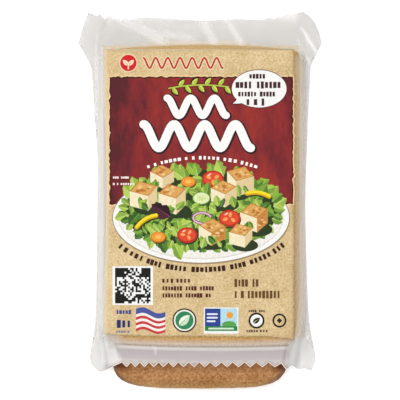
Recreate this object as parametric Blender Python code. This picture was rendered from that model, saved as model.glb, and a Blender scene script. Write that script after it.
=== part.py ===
"""A browned tofu cutlet in its film pouch, lying on its back with the label up.

Metres, +Z up.  +Y runs from the open mouth, where the cutlet's rounded end comes out under the
pinked edge of the film, to the closed end with its two ears.  The origin is on the surface
that the pouch lies on, under the middle of the whole outline.
"""

import math

import bmesh
import bpy

MM = 0.001

# ---- driving dimensions ---------------------------------------------------------------------
MODEL_LENGTH = 169.6 * MM  # from the ears at the closed end to the cutlet's bare end
POUCH_WIDTH = 109.8 * MM  # over the ears at the closed end
CUTLET_LENGTH = 154.8 * MM
CUTLET_WIDTH = 88.6 * MM
CUTLET_THICKNESS = 13.6 * MM
WALL = 0.5 * MM  # film, drawn thicker than the real 0.1 mm so that it is a solid
GAP = 0.3 * MM  # clearance between pieces that touch in life
LABEL_THICKNESS = 0.4 * MM

# ---- worked out from them -------------------------------------------------------------------
OPEN_END_Y = -MODEL_LENGTH / 2
CLOSED_END_Y = MODEL_LENGTH / 2
CUTLET_FAR_Y = OPEN_END_Y + CUTLET_LENGTH
CUTLET_UNDER_Z = WALL + GAP
CUTLET_TOP_Z = CUTLET_UNDER_Z + CUTLET_THICKNESS
FILM_TOP_Z = CUTLET_TOP_Z + GAP + WALL


def clamp(value):
    return max(0.0, min(1.0, value))


def smooth_step(value):
    t = clamp(value)
    return t * t * (3 - 2 * t)


def quarter_round(value):
    """Rises from 0 at 0 to 1 at 1, steep at first and level at the end, like a quarter circle."""
    t = 1 - clamp(value)
    return math.sqrt(1 - t * t)


def blend(start, end, share):
    return start + (end - start) * share


def metres(points):
    return [(x * MM, y * MM) for x, y in points]


# ---- meshes ---------------------------------------------------------------------------------
def add_object(name, shape, collection, hidden=False):
    """Turns a filled bmesh into a named object and links it to a collection."""
    bmesh.ops.recalc_face_normals(shape, faces=shape.faces)
    mesh = bpy.data.meshes.new(name)
    shape.to_mesh(mesh)
    shape.free()
    obj = bpy.data.objects.new(name, mesh)
    collection.objects.link(obj)
    if hidden:
        obj.hide_render = True
        obj.display_type = "WIRE"
    return obj


def loft(rings):
    """A closed skin through rings of equally many points, with a flat face on each end ring."""
    shape = bmesh.new()
    loops = [[shape.verts.new(point) for point in ring] for ring in rings]
    count = len(loops[0])
    for lower, upper in zip(loops, loops[1:]):
        for i in range(count):
            j = (i + 1) % count
            shape.faces.new((lower[i], lower[j], upper[j], upper[i]))
    shape.faces.new(loops[0][::-1])
    shape.faces.new(loops[-1])
    return shape


def prism(outline, low, high):
    """A flat outline of (x, y) points, made into a block from z = low to z = high."""
    return loft([[(x, y, z) for x, y in outline] for z in (low, high)])


def blanket(rows, lower, upper):
    """A closed slab between two height functions, on a grid of rows of (x, y) points."""
    shape = bmesh.new()
    under, over = [
        [[shape.verts.new((x, y, height(x, y))) for x, y in row] for row in rows]
        for height in (lower, upper)
    ]
    last_row = len(rows) - 1
    last = len(rows[0]) - 1
    for sheet in (under, over):
        for row, above in zip(sheet, sheet[1:]):
            for i in range(last):
                shape.faces.new((row[i], row[i + 1], above[i + 1], above[i]))
    for j in range(last_row):
        for i in (0, last):
            shape.faces.new((under[j][i], under[j + 1][i], over[j + 1][i], over[j][i]))
    for j in (0, last_row):
        for i in range(last):
            shape.faces.new((under[j][i], under[j][i + 1], over[j][i + 1], over[j][i]))
    return shape


def boolean(target, operation, tool):
    modifier = target.modifiers.new(operation.title(), "BOOLEAN")
    modifier.operation = operation
    modifier.object = tool


# ---- materials ------------------------------------------------------------------------------
def material(name, colour, roughness, alpha=1.0):
    made = bpy.data.materials.new(name)
    made.use_nodes = True
    shader = made.node_tree.nodes["Principled BSDF"]
    shader.inputs["Base Color"].default_value = (*colour, 1.0)
    shader.inputs["Roughness"].default_value = roughness
    shader.inputs["Metallic"].default_value = 0.0
    shader.inputs["Alpha"].default_value = alpha
    return made


def browned_tofu():
    return material("browned_tofu", (0.45, 0.22, 0.095), 0.62)


def clear_film():
    return material("clear_film", (0.80, 0.78, 0.76), 0.22, alpha=0.45)


def kraft_paper():
    return material("kraft_paper", (0.72, 0.54, 0.28), 0.7)


# ---- the cutlet: a pressed slab, browned all over, with soft edges ---------------------------
CUTLET_MIDDLE_X = 0.8 * MM
RIGHT_TAPER, LEFT_TAPER = 5.6 * MM, 3.9 * MM  # how much the sides draw in at the bare end
TAPER_Y, TAPER_RUN = -74.0 * MM, 18.0 * MM
CUTLET_SIDE_BULGE = 0.5 * MM
CUTLET_EDGE_RUN = 5.0 * MM  # how far in from the side the faces start to round over
CUTLET_EDGE_DROP = 5.2 * MM
BARE_END_DEPTH, BARE_END_POWER = 20.0 * MM, 4.5  # the wide, soft end that comes out
FAR_END_DEPTH, FAR_END_POWER = 4.5 * MM, 3.5  # the squarer end inside the pouch
FAR_CROWN, FAR_CROWN_HALF = 1.0 * MM, 37.5 * MM  # its middle stands out in a shallow crown
FAR_CROWN_START_Y, FAR_CROWN_RUN = 50.0 * MM, 12.0 * MM
LEAST_END_DEPTH = 1.5 * MM  # of the rings drawn in the furthest
END_STEPS = 9  # points along a quarter of each end
SIDE_STEPS = 6
EDGE_STEPS = 4
FACE_INSETS = (0.36, 0.24, 0.13)  # rings of the flat faces, as shares of the width


def corner(half, depth, power, step):
    """A point of a superellipse's quarter: how far out it lies, and how far along."""
    angle = step / END_STEPS * math.pi / 2
    out = half * math.sin(angle) ** (2 / power) if step else 0.0
    along = depth * math.cos(angle) ** (2 / power) if step < END_STEPS else 0.0
    return out, along


def drawn_in(out, y, taper_share):
    """Widens a point of the side where the slab isn't tapered, and crowns the far end."""
    widened = out * (1 + taper_share * smooth_step((y - TAPER_Y) / TAPER_RUN))
    below_crown = FAR_CROWN * math.sin(math.pi / 2 * clamp(out / FAR_CROWN_HALF)) ** 2
    return widened, y - below_crown * smooth_step((y - FAR_CROWN_START_Y) / FAR_CROWN_RUN)


def cutlet_side(inset, taper):
    """One side of the slab from above, from the middle of its bare end to that of its far end:
    how far out from the middle each point lies, and its y."""
    half = CUTLET_WIDTH / 2 - inset - taper
    bare_depth = max(BARE_END_DEPTH - inset, LEAST_END_DEPTH)
    far_depth = max(FAR_END_DEPTH - inset, LEAST_END_DEPTH)
    bare_y = OPEN_END_Y + inset + bare_depth
    far_y = CUTLET_FAR_Y - inset - far_depth
    line = []
    for step in range(END_STEPS + 1):
        out, along = corner(half, bare_depth, BARE_END_POWER, step)
        line.append((out, bare_y - along))
    for step in range(1, SIDE_STEPS):
        line.append((half, blend(bare_y, far_y, step / SIDE_STEPS)))
    for step in range(END_STEPS, -1, -1):
        out, along = corner(half, far_depth, FAR_END_POWER, step)
        line.append((out, far_y + along))
    return [drawn_in(out, y, taper / half) for out, y in line]


def cutlet_outline(inset):
    """The slab from above, drawn in by inset, counter-clockwise from the bare end's middle."""
    right = cutlet_side(inset, RIGHT_TAPER)
    left = cutlet_side(inset, LEFT_TAPER)[-2:0:-1]
    outline = right + [(-out, y) for out, y in left]
    return [(CUTLET_MIDDLE_X + x, y) for x, y in outline]


def cutlet_rings(grow=0.0):
    """Rings from the underside to the top. Grow makes the whole slab larger by that much."""
    middle_z = (CUTLET_UNDER_Z + CUTLET_TOP_Z) / 2
    half = CUTLET_THICKNESS / 2 + grow
    top = [(CUTLET_WIDTH * share - grow, half) for share in FACE_INSETS]
    for step in range(EDGE_STEPS + 1):
        angle = step / EDGE_STEPS * math.pi / 2
        inset = CUTLET_SIDE_BULGE + CUTLET_EDGE_RUN * (1 - math.sin(angle))
        top.append((inset - grow, half - CUTLET_EDGE_DROP * (1 - math.cos(angle))))
    belly = [(-grow, 0.0)]
    bottom = [(inset, -height) for inset, height in top]
    return [
        [(x, y, middle_z + height) for x, y in cutlet_outline(inset)]
        for inset, height in bottom + belly + top[::-1]
    ]


# ---- the pouch: a film tube, closed at +Y, that the cutlet fills -----------------------------
POUCH_MIDDLE_X = 0.7 * MM
SHOULDER_HALF = 46.6 * MM  # where the film has turned down at each side of the cutlet
SHOULDER_RUN = 8.0 * MM
SHOULDER_SHARES = (0.0, 0.22, 0.42, 0.6, 0.76, 0.88, 0.96, 1.0)  # grid lines across the turn
FLAT_LINES_X = (0.0, 13.0 * MM, 26.0 * MM)
FLAT_LINES_Y = (-30.0 * MM, 0.0, 30.0 * MM, 54.0 * MM)
FOLD_Z = 6.0 * MM  # height of the side folds and of the ears
PLY = 0.4 * MM  # half the thickness where both films lie together

CLOSED_LINE_Y = 80.6 * MM  # where the front and back films meet at the closed end
CLOSED_RUN, CLOSED_POWER = 14.6 * MM, 1.35  # the film comes down to it in a flat slope
CLOSED_SHARES = (0.0, 0.25, 0.48, 0.7, 0.86, 1.0)
FIN_Z = 3.4 * MM  # the closed edge hangs lower in the middle
FIN_LEVEL_HALF = 24.0 * MM
FIN_SLOPE_RUN = 20.0 * MM

MOUTH_START_Y = -52.0 * MM  # from here the pouch narrows to its open mouth
MOUTH_RUN = 24.0 * MM
MOUTH_SHARES = (1.0, 0.8, 0.6, 0.4, 0.2, 0.0)
MOUTH_SHOULDER_HALF = 43.4 * MM
MOUTH_FOLD_Z = 3.6 * MM

MOUTH_LINE_X, MOUTH_LINE_Y = -35.0 * MM, -72.8 * MM
MOUTH_TEETH, TOOTH_PITCH, TOOTH_DEPTH = 15, 3.92 * MM, 2.2 * MM
TOOTH_GROWTH = 0.12 * MM  # each tooth is this much wider than the last, from left to right

# corners of the film's ears and torn teeth, and a few points of its soft edges, in millimetres,
# going round the pouch counter-clockwise from the right end of the mouth
RIGHT_MOUTH_EAR = [
    (36.6, -73.3), (38.7, -76.0), (41.5, -74.5), (44.2, -76.3), (47.3, -75.8), (50.2, -77.0),
    (51.8, -73.2),
]
RIGHT_SIDE = [
    (52.0, -70.0), (49.6, -59.0), (48.2, -46.0), (47.3, -2.0), (48.5, 37.0), (49.8, 60.6),
]
RIGHT_EAR = [(54.9, 70.6), (53.5, 76.0), (51.6, 80.3), (49.0, 83.1), (46.5, 84.8)]
RIGHT_TEETH = [(40.4, 83.4), (38.6, 83.9), (37.1, 82.4), (35.9, 83.1), (33.2, 81.6), (31.2, 82.5)]
CLOSED_EDGE = [
    (28.5, 81.3), (14.0, 81.7), (2.5, 81.0), (-11.0, 81.6), (-24.0, 82.5), (-29.6, 82.1),
]
LEFT_TEETH = [
    (-32.2, 81.1), (-33.8, 82.7), (-34.9, 81.6), (-36.5, 82.5), (-39.4, 81.4), (-40.7, 83.8),
    (-43.0, 81.2), (-44.8, 83.6), (-46.6, 83.0),
]
LEFT_EAR = [(-50.4, 84.3), (-52.9, 77.6), (-54.9, 70.9)]
LEFT_SIDE = [
    (-50.0, 62.2), (-48.8, 58.0), (-47.3, 40.0), (-46.2, 20.0), (-45.9, -8.0), (-46.2, -34.0),
    (-47.1, -56.0), (-49.3, -67.5),
]
LEFT_MOUTH_EAR = [
    (-49.7, -71.1), (-49.2, -73.5), (-47.3, -75.9), (-45.3, -77.6), (-42.8, -76.8), (-39.7, -74.8),
    (-38.3, -75.8), (-35.0, -72.8),
]
CURVE_STEPS = 3
TRIM_MARGIN = 4.0 * MM  # how far the uncut film reaches past its outline


def mouth_share(y):
    """0 along the body of the pouch, 1 at its open mouth."""
    return smooth_step((MOUTH_START_Y - y) / MOUTH_RUN)


def fold_height(x, y):
    """Height of the line where the front film meets the back film."""
    towards_fin = smooth_step((y - CLOSED_LINE_Y) / CLOSED_RUN + 1)
    in_middle = 1 - smooth_step((abs(x) - FIN_LEVEL_HALF) / FIN_SLOPE_RUN)
    height = blend(FOLD_Z, FIN_Z, towards_fin * in_middle)
    return blend(height, MOUTH_FOLD_Z, mouth_share(y))


def fullness(x, y):
    """1 where the film lies flat on the cutlet, 0 where both films lie together."""
    shoulder = blend(SHOULDER_HALF, MOUTH_SHOULDER_HALF, mouth_share(y))
    across = quarter_round((shoulder - abs(x - POUCH_MIDDLE_X)) / SHOULDER_RUN)
    down = 1 - clamp((CLOSED_LINE_Y - y) / CLOSED_RUN)
    return across * (1 - down**CLOSED_POWER)


def front_height(x, y):
    return blend(fold_height(x, y) + PLY, FILM_TOP_Z, fullness(x, y))


def back_height(x, y):
    return blend(fold_height(x, y) - PLY, 0.0, fullness(x, y))


def film_lines_x():
    turn = [MOUTH_SHOULDER_HALF - SHOULDER_RUN]
    turn += [SHOULDER_HALF - SHOULDER_RUN * (1 - share) for share in SHOULDER_SHARES]
    half = [*FLAT_LINES_X, *turn, POUCH_WIDTH / 2 + TRIM_MARGIN]
    return [POUCH_MIDDLE_X - x for x in half[:0:-1]] + [POUCH_MIDDLE_X + x for x in half]


def film_lines_y():
    mouth = [MOUTH_START_Y - MOUTH_RUN * share for share in MOUTH_SHARES]
    close = [CLOSED_LINE_Y - CLOSED_RUN * (1 - share) for share in CLOSED_SHARES]
    return [OPEN_END_Y, *mouth, *FLAT_LINES_Y, *close, CLOSED_END_Y + TRIM_MARGIN]


def mouth_teeth():
    """The teeth that pinking blades cut across the mouth, from left to right."""
    points = []
    x = MOUTH_LINE_X
    for tooth in range(MOUTH_TEETH):
        pitch = TOOTH_PITCH + TOOTH_GROWTH * tooth
        points.append((x + pitch / 2, MOUTH_LINE_Y - TOOTH_DEPTH))
        x += pitch
        if tooth < MOUTH_TEETH - 1:
            points.append((x, MOUTH_LINE_Y))
    return points


def curve_through(points):
    """A smooth line through a few points of an edge, as a Catmull-Rom spline."""
    ends = [points[0], *points, points[-1]]
    line = []
    for a, b, c, d in zip(ends, ends[1:], ends[2:], ends[3:]):
        for step in range(CURVE_STEPS):
            t = step / CURVE_STEPS
            pull_a = 2 * t**2 - t**3 - t
            pull_b = 2 - 5 * t**2 + 3 * t**3
            pull_c = t + 4 * t**2 - 3 * t**3
            pull_d = t**3 - t**2
            x = pull_a * a[0] + pull_b * b[0] + pull_c * c[0] + pull_d * d[0]
            y = pull_a * a[1] + pull_b * b[1] + pull_c * c[1] + pull_d * d[1]
            line.append((x / 2, y / 2))
    return [*line, points[-1]]


def pouch_outline():
    """The pouch from above, counter-clockwise from the left end of the mouth's teeth."""
    return [
        *mouth_teeth(),
        *metres(RIGHT_MOUTH_EAR),
        *curve_through(metres(RIGHT_SIDE)),
        *metres(RIGHT_EAR),
        *metres(RIGHT_TEETH),
        *curve_through(metres(CLOSED_EDGE)),
        *metres(LEFT_TEETH),
        *metres(LEFT_EAR),
        *curve_through(metres(LEFT_SIDE)),
        *metres(LEFT_MOUTH_EAR),
    ]


# ---- the label: a sheet of printed kraft paper on the front film -----------------------------
LABEL_LEFT_X, LABEL_RIGHT_X = -42.8 * MM, 41.9 * MM
LABEL_NEAR_Y, LABEL_FAR_Y = -61.6 * MM, 67.8 * MM
LABEL_TILT = 0.015  # slope of the near edge, which also bows
LABEL_BOW = 0.4 * MM
LABEL_MARGIN = 1.0 * MM  # the film's grid lines nearer to the label's edge than this are left out


def label_lines(lines, low, high):
    inside = [line for line in lines if low + LABEL_MARGIN < line < high - LABEL_MARGIN]
    return [low, *inside, high]


def label_rows():
    """The label's grid, on the film's own lines. Its near edge is a little aslant and bowed."""
    lines_x = label_lines(film_lines_x(), LABEL_LEFT_X, LABEL_RIGHT_X)
    rows = []
    for y in label_lines(film_lines_y(), LABEL_NEAR_Y, LABEL_FAR_Y):
        towards_near = (LABEL_FAR_Y - y) / (LABEL_FAR_Y - LABEL_NEAR_Y)
        rows.append(
            [
                (x, y + towards_near * (LABEL_BOW * (x / LABEL_LEFT_X) ** 2 - LABEL_TILT * x))
                for x in lines_x
            ]
        )
    return rows


def label_under(x, y):
    return front_height(x, y) + GAP


def label_face(x, y):
    return label_under(x, y) + LABEL_THICKNESS


# ---- the pack -------------------------------------------------------------------------------
SHARP_ANGLE = math.radians(35)


def build():
    for obj in list(bpy.data.objects):
        bpy.data.objects.remove(obj)

    parts = bpy.data.collections.new("tofu_cutlet_in_film_pouch")
    cutters = bpy.data.collections.new("cutters")
    for collection in (parts, cutters):
        bpy.context.scene.collection.children.link(collection)

    cutlet = add_object("cutlet", loft(cutlet_rings()), parts)
    cutlet.data.materials.append(browned_tofu())

    film_rows = [[(x, y) for x in film_lines_x()] for y in film_lines_y()]
    pouch = add_object("pouch", blanket(film_rows, back_height, front_height), parts)
    pouch.data.materials.append(clear_film())
    trim_block = prism(pouch_outline(), -TRIM_MARGIN, FILM_TOP_Z + TRIM_MARGIN)
    boolean(pouch, "INTERSECT", add_object("trim", trim_block, cutters, hidden=True))
    pocket = add_object("pocket", loft(cutlet_rings(grow=GAP)), cutters, hidden=True)
    boolean(pouch, "DIFFERENCE", pocket)

    label = add_object("label", blanket(label_rows(), label_under, label_face), parts)
    label.data.materials.append(kraft_paper())

    for obj in (cutlet, pouch, label):
        obj.data.shade_smooth()
        obj.data.set_sharp_from_angle(angle=SHARP_ANGLE)


build()
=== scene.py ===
"""A browned tofu cutlet in its opened film pouch with a kraft paper label, lying label up.

Each section below makes one piece, from the cutlet outwards: the film round it, the paper on
the film, and then each part of the printing on the paper.
"""

import math
import random

import bmesh
import bpy
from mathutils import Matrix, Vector, noise
from mathutils.geometry import delaunay_2d_cdt


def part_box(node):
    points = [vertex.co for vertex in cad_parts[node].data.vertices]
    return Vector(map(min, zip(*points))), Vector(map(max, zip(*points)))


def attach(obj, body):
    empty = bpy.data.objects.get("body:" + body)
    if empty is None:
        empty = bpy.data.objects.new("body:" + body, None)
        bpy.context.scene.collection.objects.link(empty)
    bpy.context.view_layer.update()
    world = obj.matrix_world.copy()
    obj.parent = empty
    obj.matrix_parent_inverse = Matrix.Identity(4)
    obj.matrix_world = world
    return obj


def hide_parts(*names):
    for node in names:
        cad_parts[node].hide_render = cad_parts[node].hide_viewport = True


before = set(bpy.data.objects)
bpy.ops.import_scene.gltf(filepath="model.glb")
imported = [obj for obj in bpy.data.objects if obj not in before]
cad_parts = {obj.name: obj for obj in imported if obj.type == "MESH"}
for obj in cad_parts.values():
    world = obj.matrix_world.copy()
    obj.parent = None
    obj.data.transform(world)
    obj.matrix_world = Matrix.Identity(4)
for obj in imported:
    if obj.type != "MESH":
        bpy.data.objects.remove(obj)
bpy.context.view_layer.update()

# ---- The table, the camera and the studio lights ---------------------------------------------
# The pack lies on a white table and is seen from straight above through a long lens, so that
# its sides stay parallel. A broad overhead box and a little light from below keep the table
# white, and narrow boxes at the sides put streaks of light in the film.
MM = 0.001
VIEW_WIDTH = 180 * MM  # width of the picture at the height of the label
VIEW_LEVEL = 12 * MM
CAMERA_HEIGHT = 3.2  # metres
SENSOR_WIDTH = 36.0  # millimetres
TABLE_SIZE = 6.0  # metres
TABLE_GLOW = 0.22
SOFT_BOXES = {  # place, width and length in metres, and brightness
    "overhead": ((0.0, 0.0, 1.7), 1.1, 1.1, 4.6),
    "left": ((-0.8, 0.1, 0.8), 0.25, 1.0, 7.0),
    "right": ((0.8, 0.1, 0.9), 0.2, 1.0, 2.5),
    "far": ((0.0, 0.85, 0.9), 0.9, 0.2, 4.0),
    "near": ((0.0, -0.8, 0.9), 0.9, 0.2, 2.5),
}
SKY_BRIGHTNESS = 0.30
WHITE = (1.0, 1.0, 1.0, 1.0)


def linear(hex_colour):
    """An sRGB colour such as "#b38156" as the linear colour that shaders take. Two more digits
    give its cover, which is otherwise full."""
    *channels, cover = [int((hex_colour + "ff")[i : i + 2], 16) / 255 for i in (1, 3, 5, 7)]
    return (*[c / 12.92 if c <= 0.04045 else ((c + 0.055) / 1.055) ** 2.4 for c in channels], cover)


def new_material(name, roughness, gloss=0.5):
    """A new material, its node tree and its Principled shader."""
    made = bpy.data.materials.new(name)
    made.use_nodes = True
    shader = made.node_tree.nodes["Principled BSDF"]
    shader.inputs["Roughness"].default_value = roughness
    shader.inputs["Specular IOR Level"].default_value = gloss
    return made, made.node_tree, shader


def set_inputs(tree, node, inputs):
    """Sets (socket, value) pairs on a node. A value that is another node's output is linked."""
    for socket, value in inputs:
        if isinstance(value, bpy.types.NodeSocket):
            tree.links.new(value, node.inputs[socket])
        else:
            node.inputs[socket].default_value = value


def add_node(tree, kind, inputs=(), **settings):
    """Adds a node with its settings and inputs."""
    node = tree.nodes.new(kind)
    for name, value in settings.items():
        setattr(node, name, value)
    set_inputs(tree, node, inputs)
    return node


def in_scene(name, data):
    """A new object in the scene, at its origin."""
    obj = bpy.data.objects.new(name, data)
    bpy.context.scene.collection.objects.link(obj)
    return obj


def mesh_object(name, points, faces, material):
    mesh = bpy.data.meshes.new(name)
    mesh.from_pydata(points, [], faces)
    mesh.validate()
    mesh.materials.append(material)
    return in_scene(name, mesh)


def set_up_camera():
    camera = bpy.data.cameras.new("camera")
    camera.sensor_width = SENSOR_WIDTH
    camera.lens = SENSOR_WIDTH * (CAMERA_HEIGHT - VIEW_LEVEL) / VIEW_WIDTH
    obj = in_scene("camera", camera)
    obj.location = (0, 0, CAMERA_HEIGHT)
    bpy.context.scene.camera = obj


def set_up_lights():
    for name, (place, width, length, brightness) in SOFT_BOXES.items():
        light = bpy.data.lights.new(name, "AREA")
        light.shape = "RECTANGLE"
        light.size, light.size_y = width, length
        light.energy = brightness * math.pi * width * length
        obj = in_scene(name, light)
        obj.location = place
        obj.rotation_euler = (-Vector(place)).to_track_quat("-Z", "Y").to_euler()
    world = bpy.data.worlds.new("studio")
    world.use_nodes = True
    background = world.node_tree.nodes["Background"]
    set_inputs(world.node_tree, background, [("Color", WHITE), ("Strength", SKY_BRIGHTNESS)])
    bpy.context.scene.world = world


def set_up_table():
    """White acrylic, lit a little from below: smooth, with almost no gloss."""
    acrylic, tree, shader = new_material("white_acrylic", 0.7, 0.1)
    set_inputs(tree, shader, [("Base Color", linear("#fafaf9"))])
    set_inputs(tree, shader, [("Emission Color", WHITE), ("Emission Strength", TABLE_GLOW)])
    half = TABLE_SIZE / 2
    corners = [(-half, -half, 0), (half, -half, 0), (half, half, 0), (-half, half, 0)]
    mesh_object("table", corners, [(0, 1, 2, 3)], acrylic)


bpy.context.scene.view_settings.view_transform = "Standard"
set_up_camera()
set_up_lights()
set_up_table()


# ---- The cutlet ------------------------------------------------------------------------------
# One slab of pressed tofu, browned on a griddle: a thin, dry skin, tan to brown in patches,
# and golden along its edges. The bare end has painted shade at its corners, on its steep sides
# and under the film's cut edge, and a low edge painted paler. Made from the frame's own slab,
# remeshed.
SAME_PLACE = 0.01 * MM  # points nearer to each other than this are one
SKIN_VOXEL = 0.8 * MM
SKIN_SWELL = 0.08 * MM  # the soft slab fills part of the gap that the frame keeps to the film
SKIN_SMOOTHING = 3
WAVE_SIZE, WAVE_DEPTH = 14 * MM, 0.25 * MM  # slow unevenness of the pressed faces
PIT_SIZE, PIT_DEPTH = 2.6 * MM, 0.16 * MM  # small blisters and pits of the browned skin
PATCHES = (7.7 * MM, 5.0, 0.62)  # patches of browning: their size, detail and roughness
SKIN_GRAIN = (1.05 * MM, 3.0, 0.7)  # curds in the crust
GRAIN_SHARE, GRAIN_BUMP = 0.7, 0.15 * MM
BROWNED_TONES = [(0.36, "#7c4a25"), (0.49, "#9d6e40"), (0.64, "#b98f64")]
GOLDEN_TONES = [(0.38, "#a6782e"), (0.61, "#cba551")]  # under the film
# the colour of the painted shade on the bare end
PAINTED_SHADE_TONE = "#52230c"
BARE_START_Y, BARE_RUN = -58 * MM, 16 * MM  # the end that comes out is the most browned
BARE_LINE_Y, BARE_LINE_RUN = -74.5 * MM, 4.5 * MM  # painted shadow of the film's cut edge on the slab, where the slab leaves the film
FACE_BROWNING = 0.3  # of the flat faces under the film
LOW_EDGE_PAINTED_LIGHT = 0.3  # painted light: how much paler the bare end's low edge is painted, where it curves away from the lamps
LOW_EDGE_FLATNESS = (0.7, 0.5)  # where it starts, and over how much it changes
# painted shade on the bare end, at its corners, under the film's cut edge and on its steep
# sides: how dark, and where across the half width it starts, and its run
CORNER_SHADE, CORNER_SPAN = 0.7, (0.78, 0.2)
LINE_SHADOW, LINE_END_SHADOW, LINE_END_SPAN = 0.45, 0.5, (0.68, 0.12)
RIM_SHADE, RIM_SPAN, RIM_FLATNESS = 0.9, (0.55, 0.35), (0.6, 0.6)
LOW_EDGE_SPAN = (0.5, 0.3)
COLOUR_A, COLOUR_B, MIXED_COLOUR = 6, 7, 2  # a mix node's sockets for colours


def smooth_step(value):
    t = max(0.0, min(1.0, value))
    return t * t * (3 - 2 * t)


def rise(value, span):
    """0 up to where a span (its start, its run) starts, and then smoothly up to 1."""
    return smooth_step((value - span[0]) / span[1])


def fall(value, span):
    """0 down to where a span (its start, its run) starts, and then smoothly up to 1 below it."""
    return smooth_step((span[0] - value) / span[1])


def set_tones(ramp, tones):
    """Gives a colour ramp its stops, as (place, colour) pairs."""
    stops = ramp.color_ramp.elements
    stops.remove(stops[1])
    for number, (place, colour) in enumerate(tones):
        stop = stops.new(place) if number else stops[0]
        stop.position = place
        stop.color = linear(colour) if isinstance(colour, str) else colour


def browned_tofu():
    """Tofu skin: dull and finely grained, mottled by the griddle, a little moist."""
    made, tree, shader = new_material("browned_tofu", 0.62, 0.15)
    place = add_node(tree, "ShaderNodeTexCoord").outputs["Object"]
    patches, grain = [
        add_node(
            tree,
            "ShaderNodeTexNoise",
            [("Vector", place), ("Scale", 1 / size), ("Detail", detail), ("Roughness", rough)],
        ).outputs["Fac"]
        for size, detail, rough in (PATCHES, SKIN_GRAIN)
    ]
    mottle = add_node(
        tree, "ShaderNodeMix", [("Factor", GRAIN_SHARE), ("A", patches), ("B", grain)]
    )
    golden, browning = [
        add_node(tree, "ShaderNodeValToRGB", [("Fac", mottle.outputs[0])]) for _ in range(2)
    ]
    set_tones(golden, GOLDEN_TONES)
    set_tones(browning, BROWNED_TONES)
    # the browning, painted paler along the bare end's low edge, and the painted shade on the bare
    # end: at its corners, under the film's cut edge and on its steep sides
    browned, painted_shade = [
        add_node(tree, "ShaderNodeAttribute", attribute_name=name).outputs["Fac"]
        for name in ("browned", "painted_shade")
    ]
    colour = golden.outputs["Color"]
    for share, over in ((browned, browning.outputs["Color"]), (painted_shade, linear(PAINTED_SHADE_TONE))):
        mix = add_node(
            tree,
            "ShaderNodeMix",
            [("Factor", share), (COLOUR_A, colour), (COLOUR_B, over)],
            data_type="RGBA",
        )
        colour = mix.outputs[MIXED_COLOUR]
    bump = add_node(
        tree,
        "ShaderNodeBump",
        [("Height", grain), ("Distance", GRAIN_BUMP), ("Strength", 0.5)],
    )
    set_inputs(tree, shader, [("Base Color", colour), ("Normal", bump.outputs["Normal"])])
    return made


def evaluated_copy(obj, name):
    """The object as its modifiers leave it, as a new object, with the old one removed."""
    bpy.context.view_layer.update()
    mesh = bpy.data.meshes.new_from_object(
        obj.evaluated_get(bpy.context.evaluated_depsgraph_get())
    )
    mesh.name = name
    bpy.data.objects.remove(obj)
    return in_scene(name, mesh)


def make_cutlet():
    low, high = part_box("cutlet")
    shape = bmesh.new()
    shape.from_mesh(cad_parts["cutlet"].data)
    bmesh.ops.remove_doubles(shape, verts=shape.verts, dist=SAME_PLACE)
    draft = in_scene("cutlet_draft", bpy.data.meshes.new("cutlet_draft"))
    shape.to_mesh(draft.data)
    shape.free()
    remesh = draft.modifiers.new("even", "REMESH")
    remesh.mode = "VOXEL"
    remesh.voxel_size = SKIN_VOXEL
    soften = draft.modifiers.new("soften", "SMOOTH")
    soften.iterations = SKIN_SMOOTHING
    cutlet = evaluated_copy(draft, "tofu_slab")
    mesh = cutlet.data
    mesh.materials.clear()
    mesh.materials.append(browned_tofu())

    middle_x = (low.x + high.x) / 2
    half_x = (high.x - low.x) / 2
    normals = [vertex.normal.copy() for vertex in mesh.vertices]
    browned = mesh.attributes.new("browned", "FLOAT", "POINT")
    painted_shade = mesh.attributes.new("painted_shade", "FLOAT", "POINT")
    for vertex, normal in zip(mesh.vertices, normals):
        place = vertex.co.copy()
        wave = noise.noise(place / WAVE_SIZE) * WAVE_DEPTH
        pit = noise.turbulence(place / PIT_SIZE, 3, False) * PIT_DEPTH - PIT_DEPTH / 2
        vertex.co = place + normal * (SKIN_SWELL + wave - pit)
        bare = fall(place.y, (BARE_START_Y, BARE_RUN))
        flat = abs(normal.z) ** 2
        out = abs(place.x - middle_x) / half_x
        # painted light: the bare end's low edge is painted paler, where it curves away from the
        # lamps
        low_edge = fall(flat, LOW_EDGE_FLATNESS) * (1 - rise(out, LOW_EDGE_SPAN))
        bare_browning = bare * (1 - LOW_EDGE_PAINTED_LIGHT * low_edge)
        browned.data[vertex.index].value = max(bare_browning, FACE_BROWNING * flat)
        # painted shade on the bare end: at its corners, under the film's cut edge, and on its steep
        # sides
        corner = CORNER_SHADE * rise(out, CORNER_SPAN)
        at_line = LINE_SHADOW + LINE_END_SHADOW * rise(out, LINE_END_SPAN)
        at_line *= smooth_step((place.y - BARE_LINE_Y) / BARE_LINE_RUN + 1)
        rim = RIM_SHADE * rise(out, RIM_SPAN) * fall(flat, RIM_FLATNESS)
        painted_shade.data[vertex.index].value = bare * max(corner, at_line, rim)
    mesh.shade_smooth()
    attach(cutlet, "root")
    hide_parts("cutlet")


make_cutlet()


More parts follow.
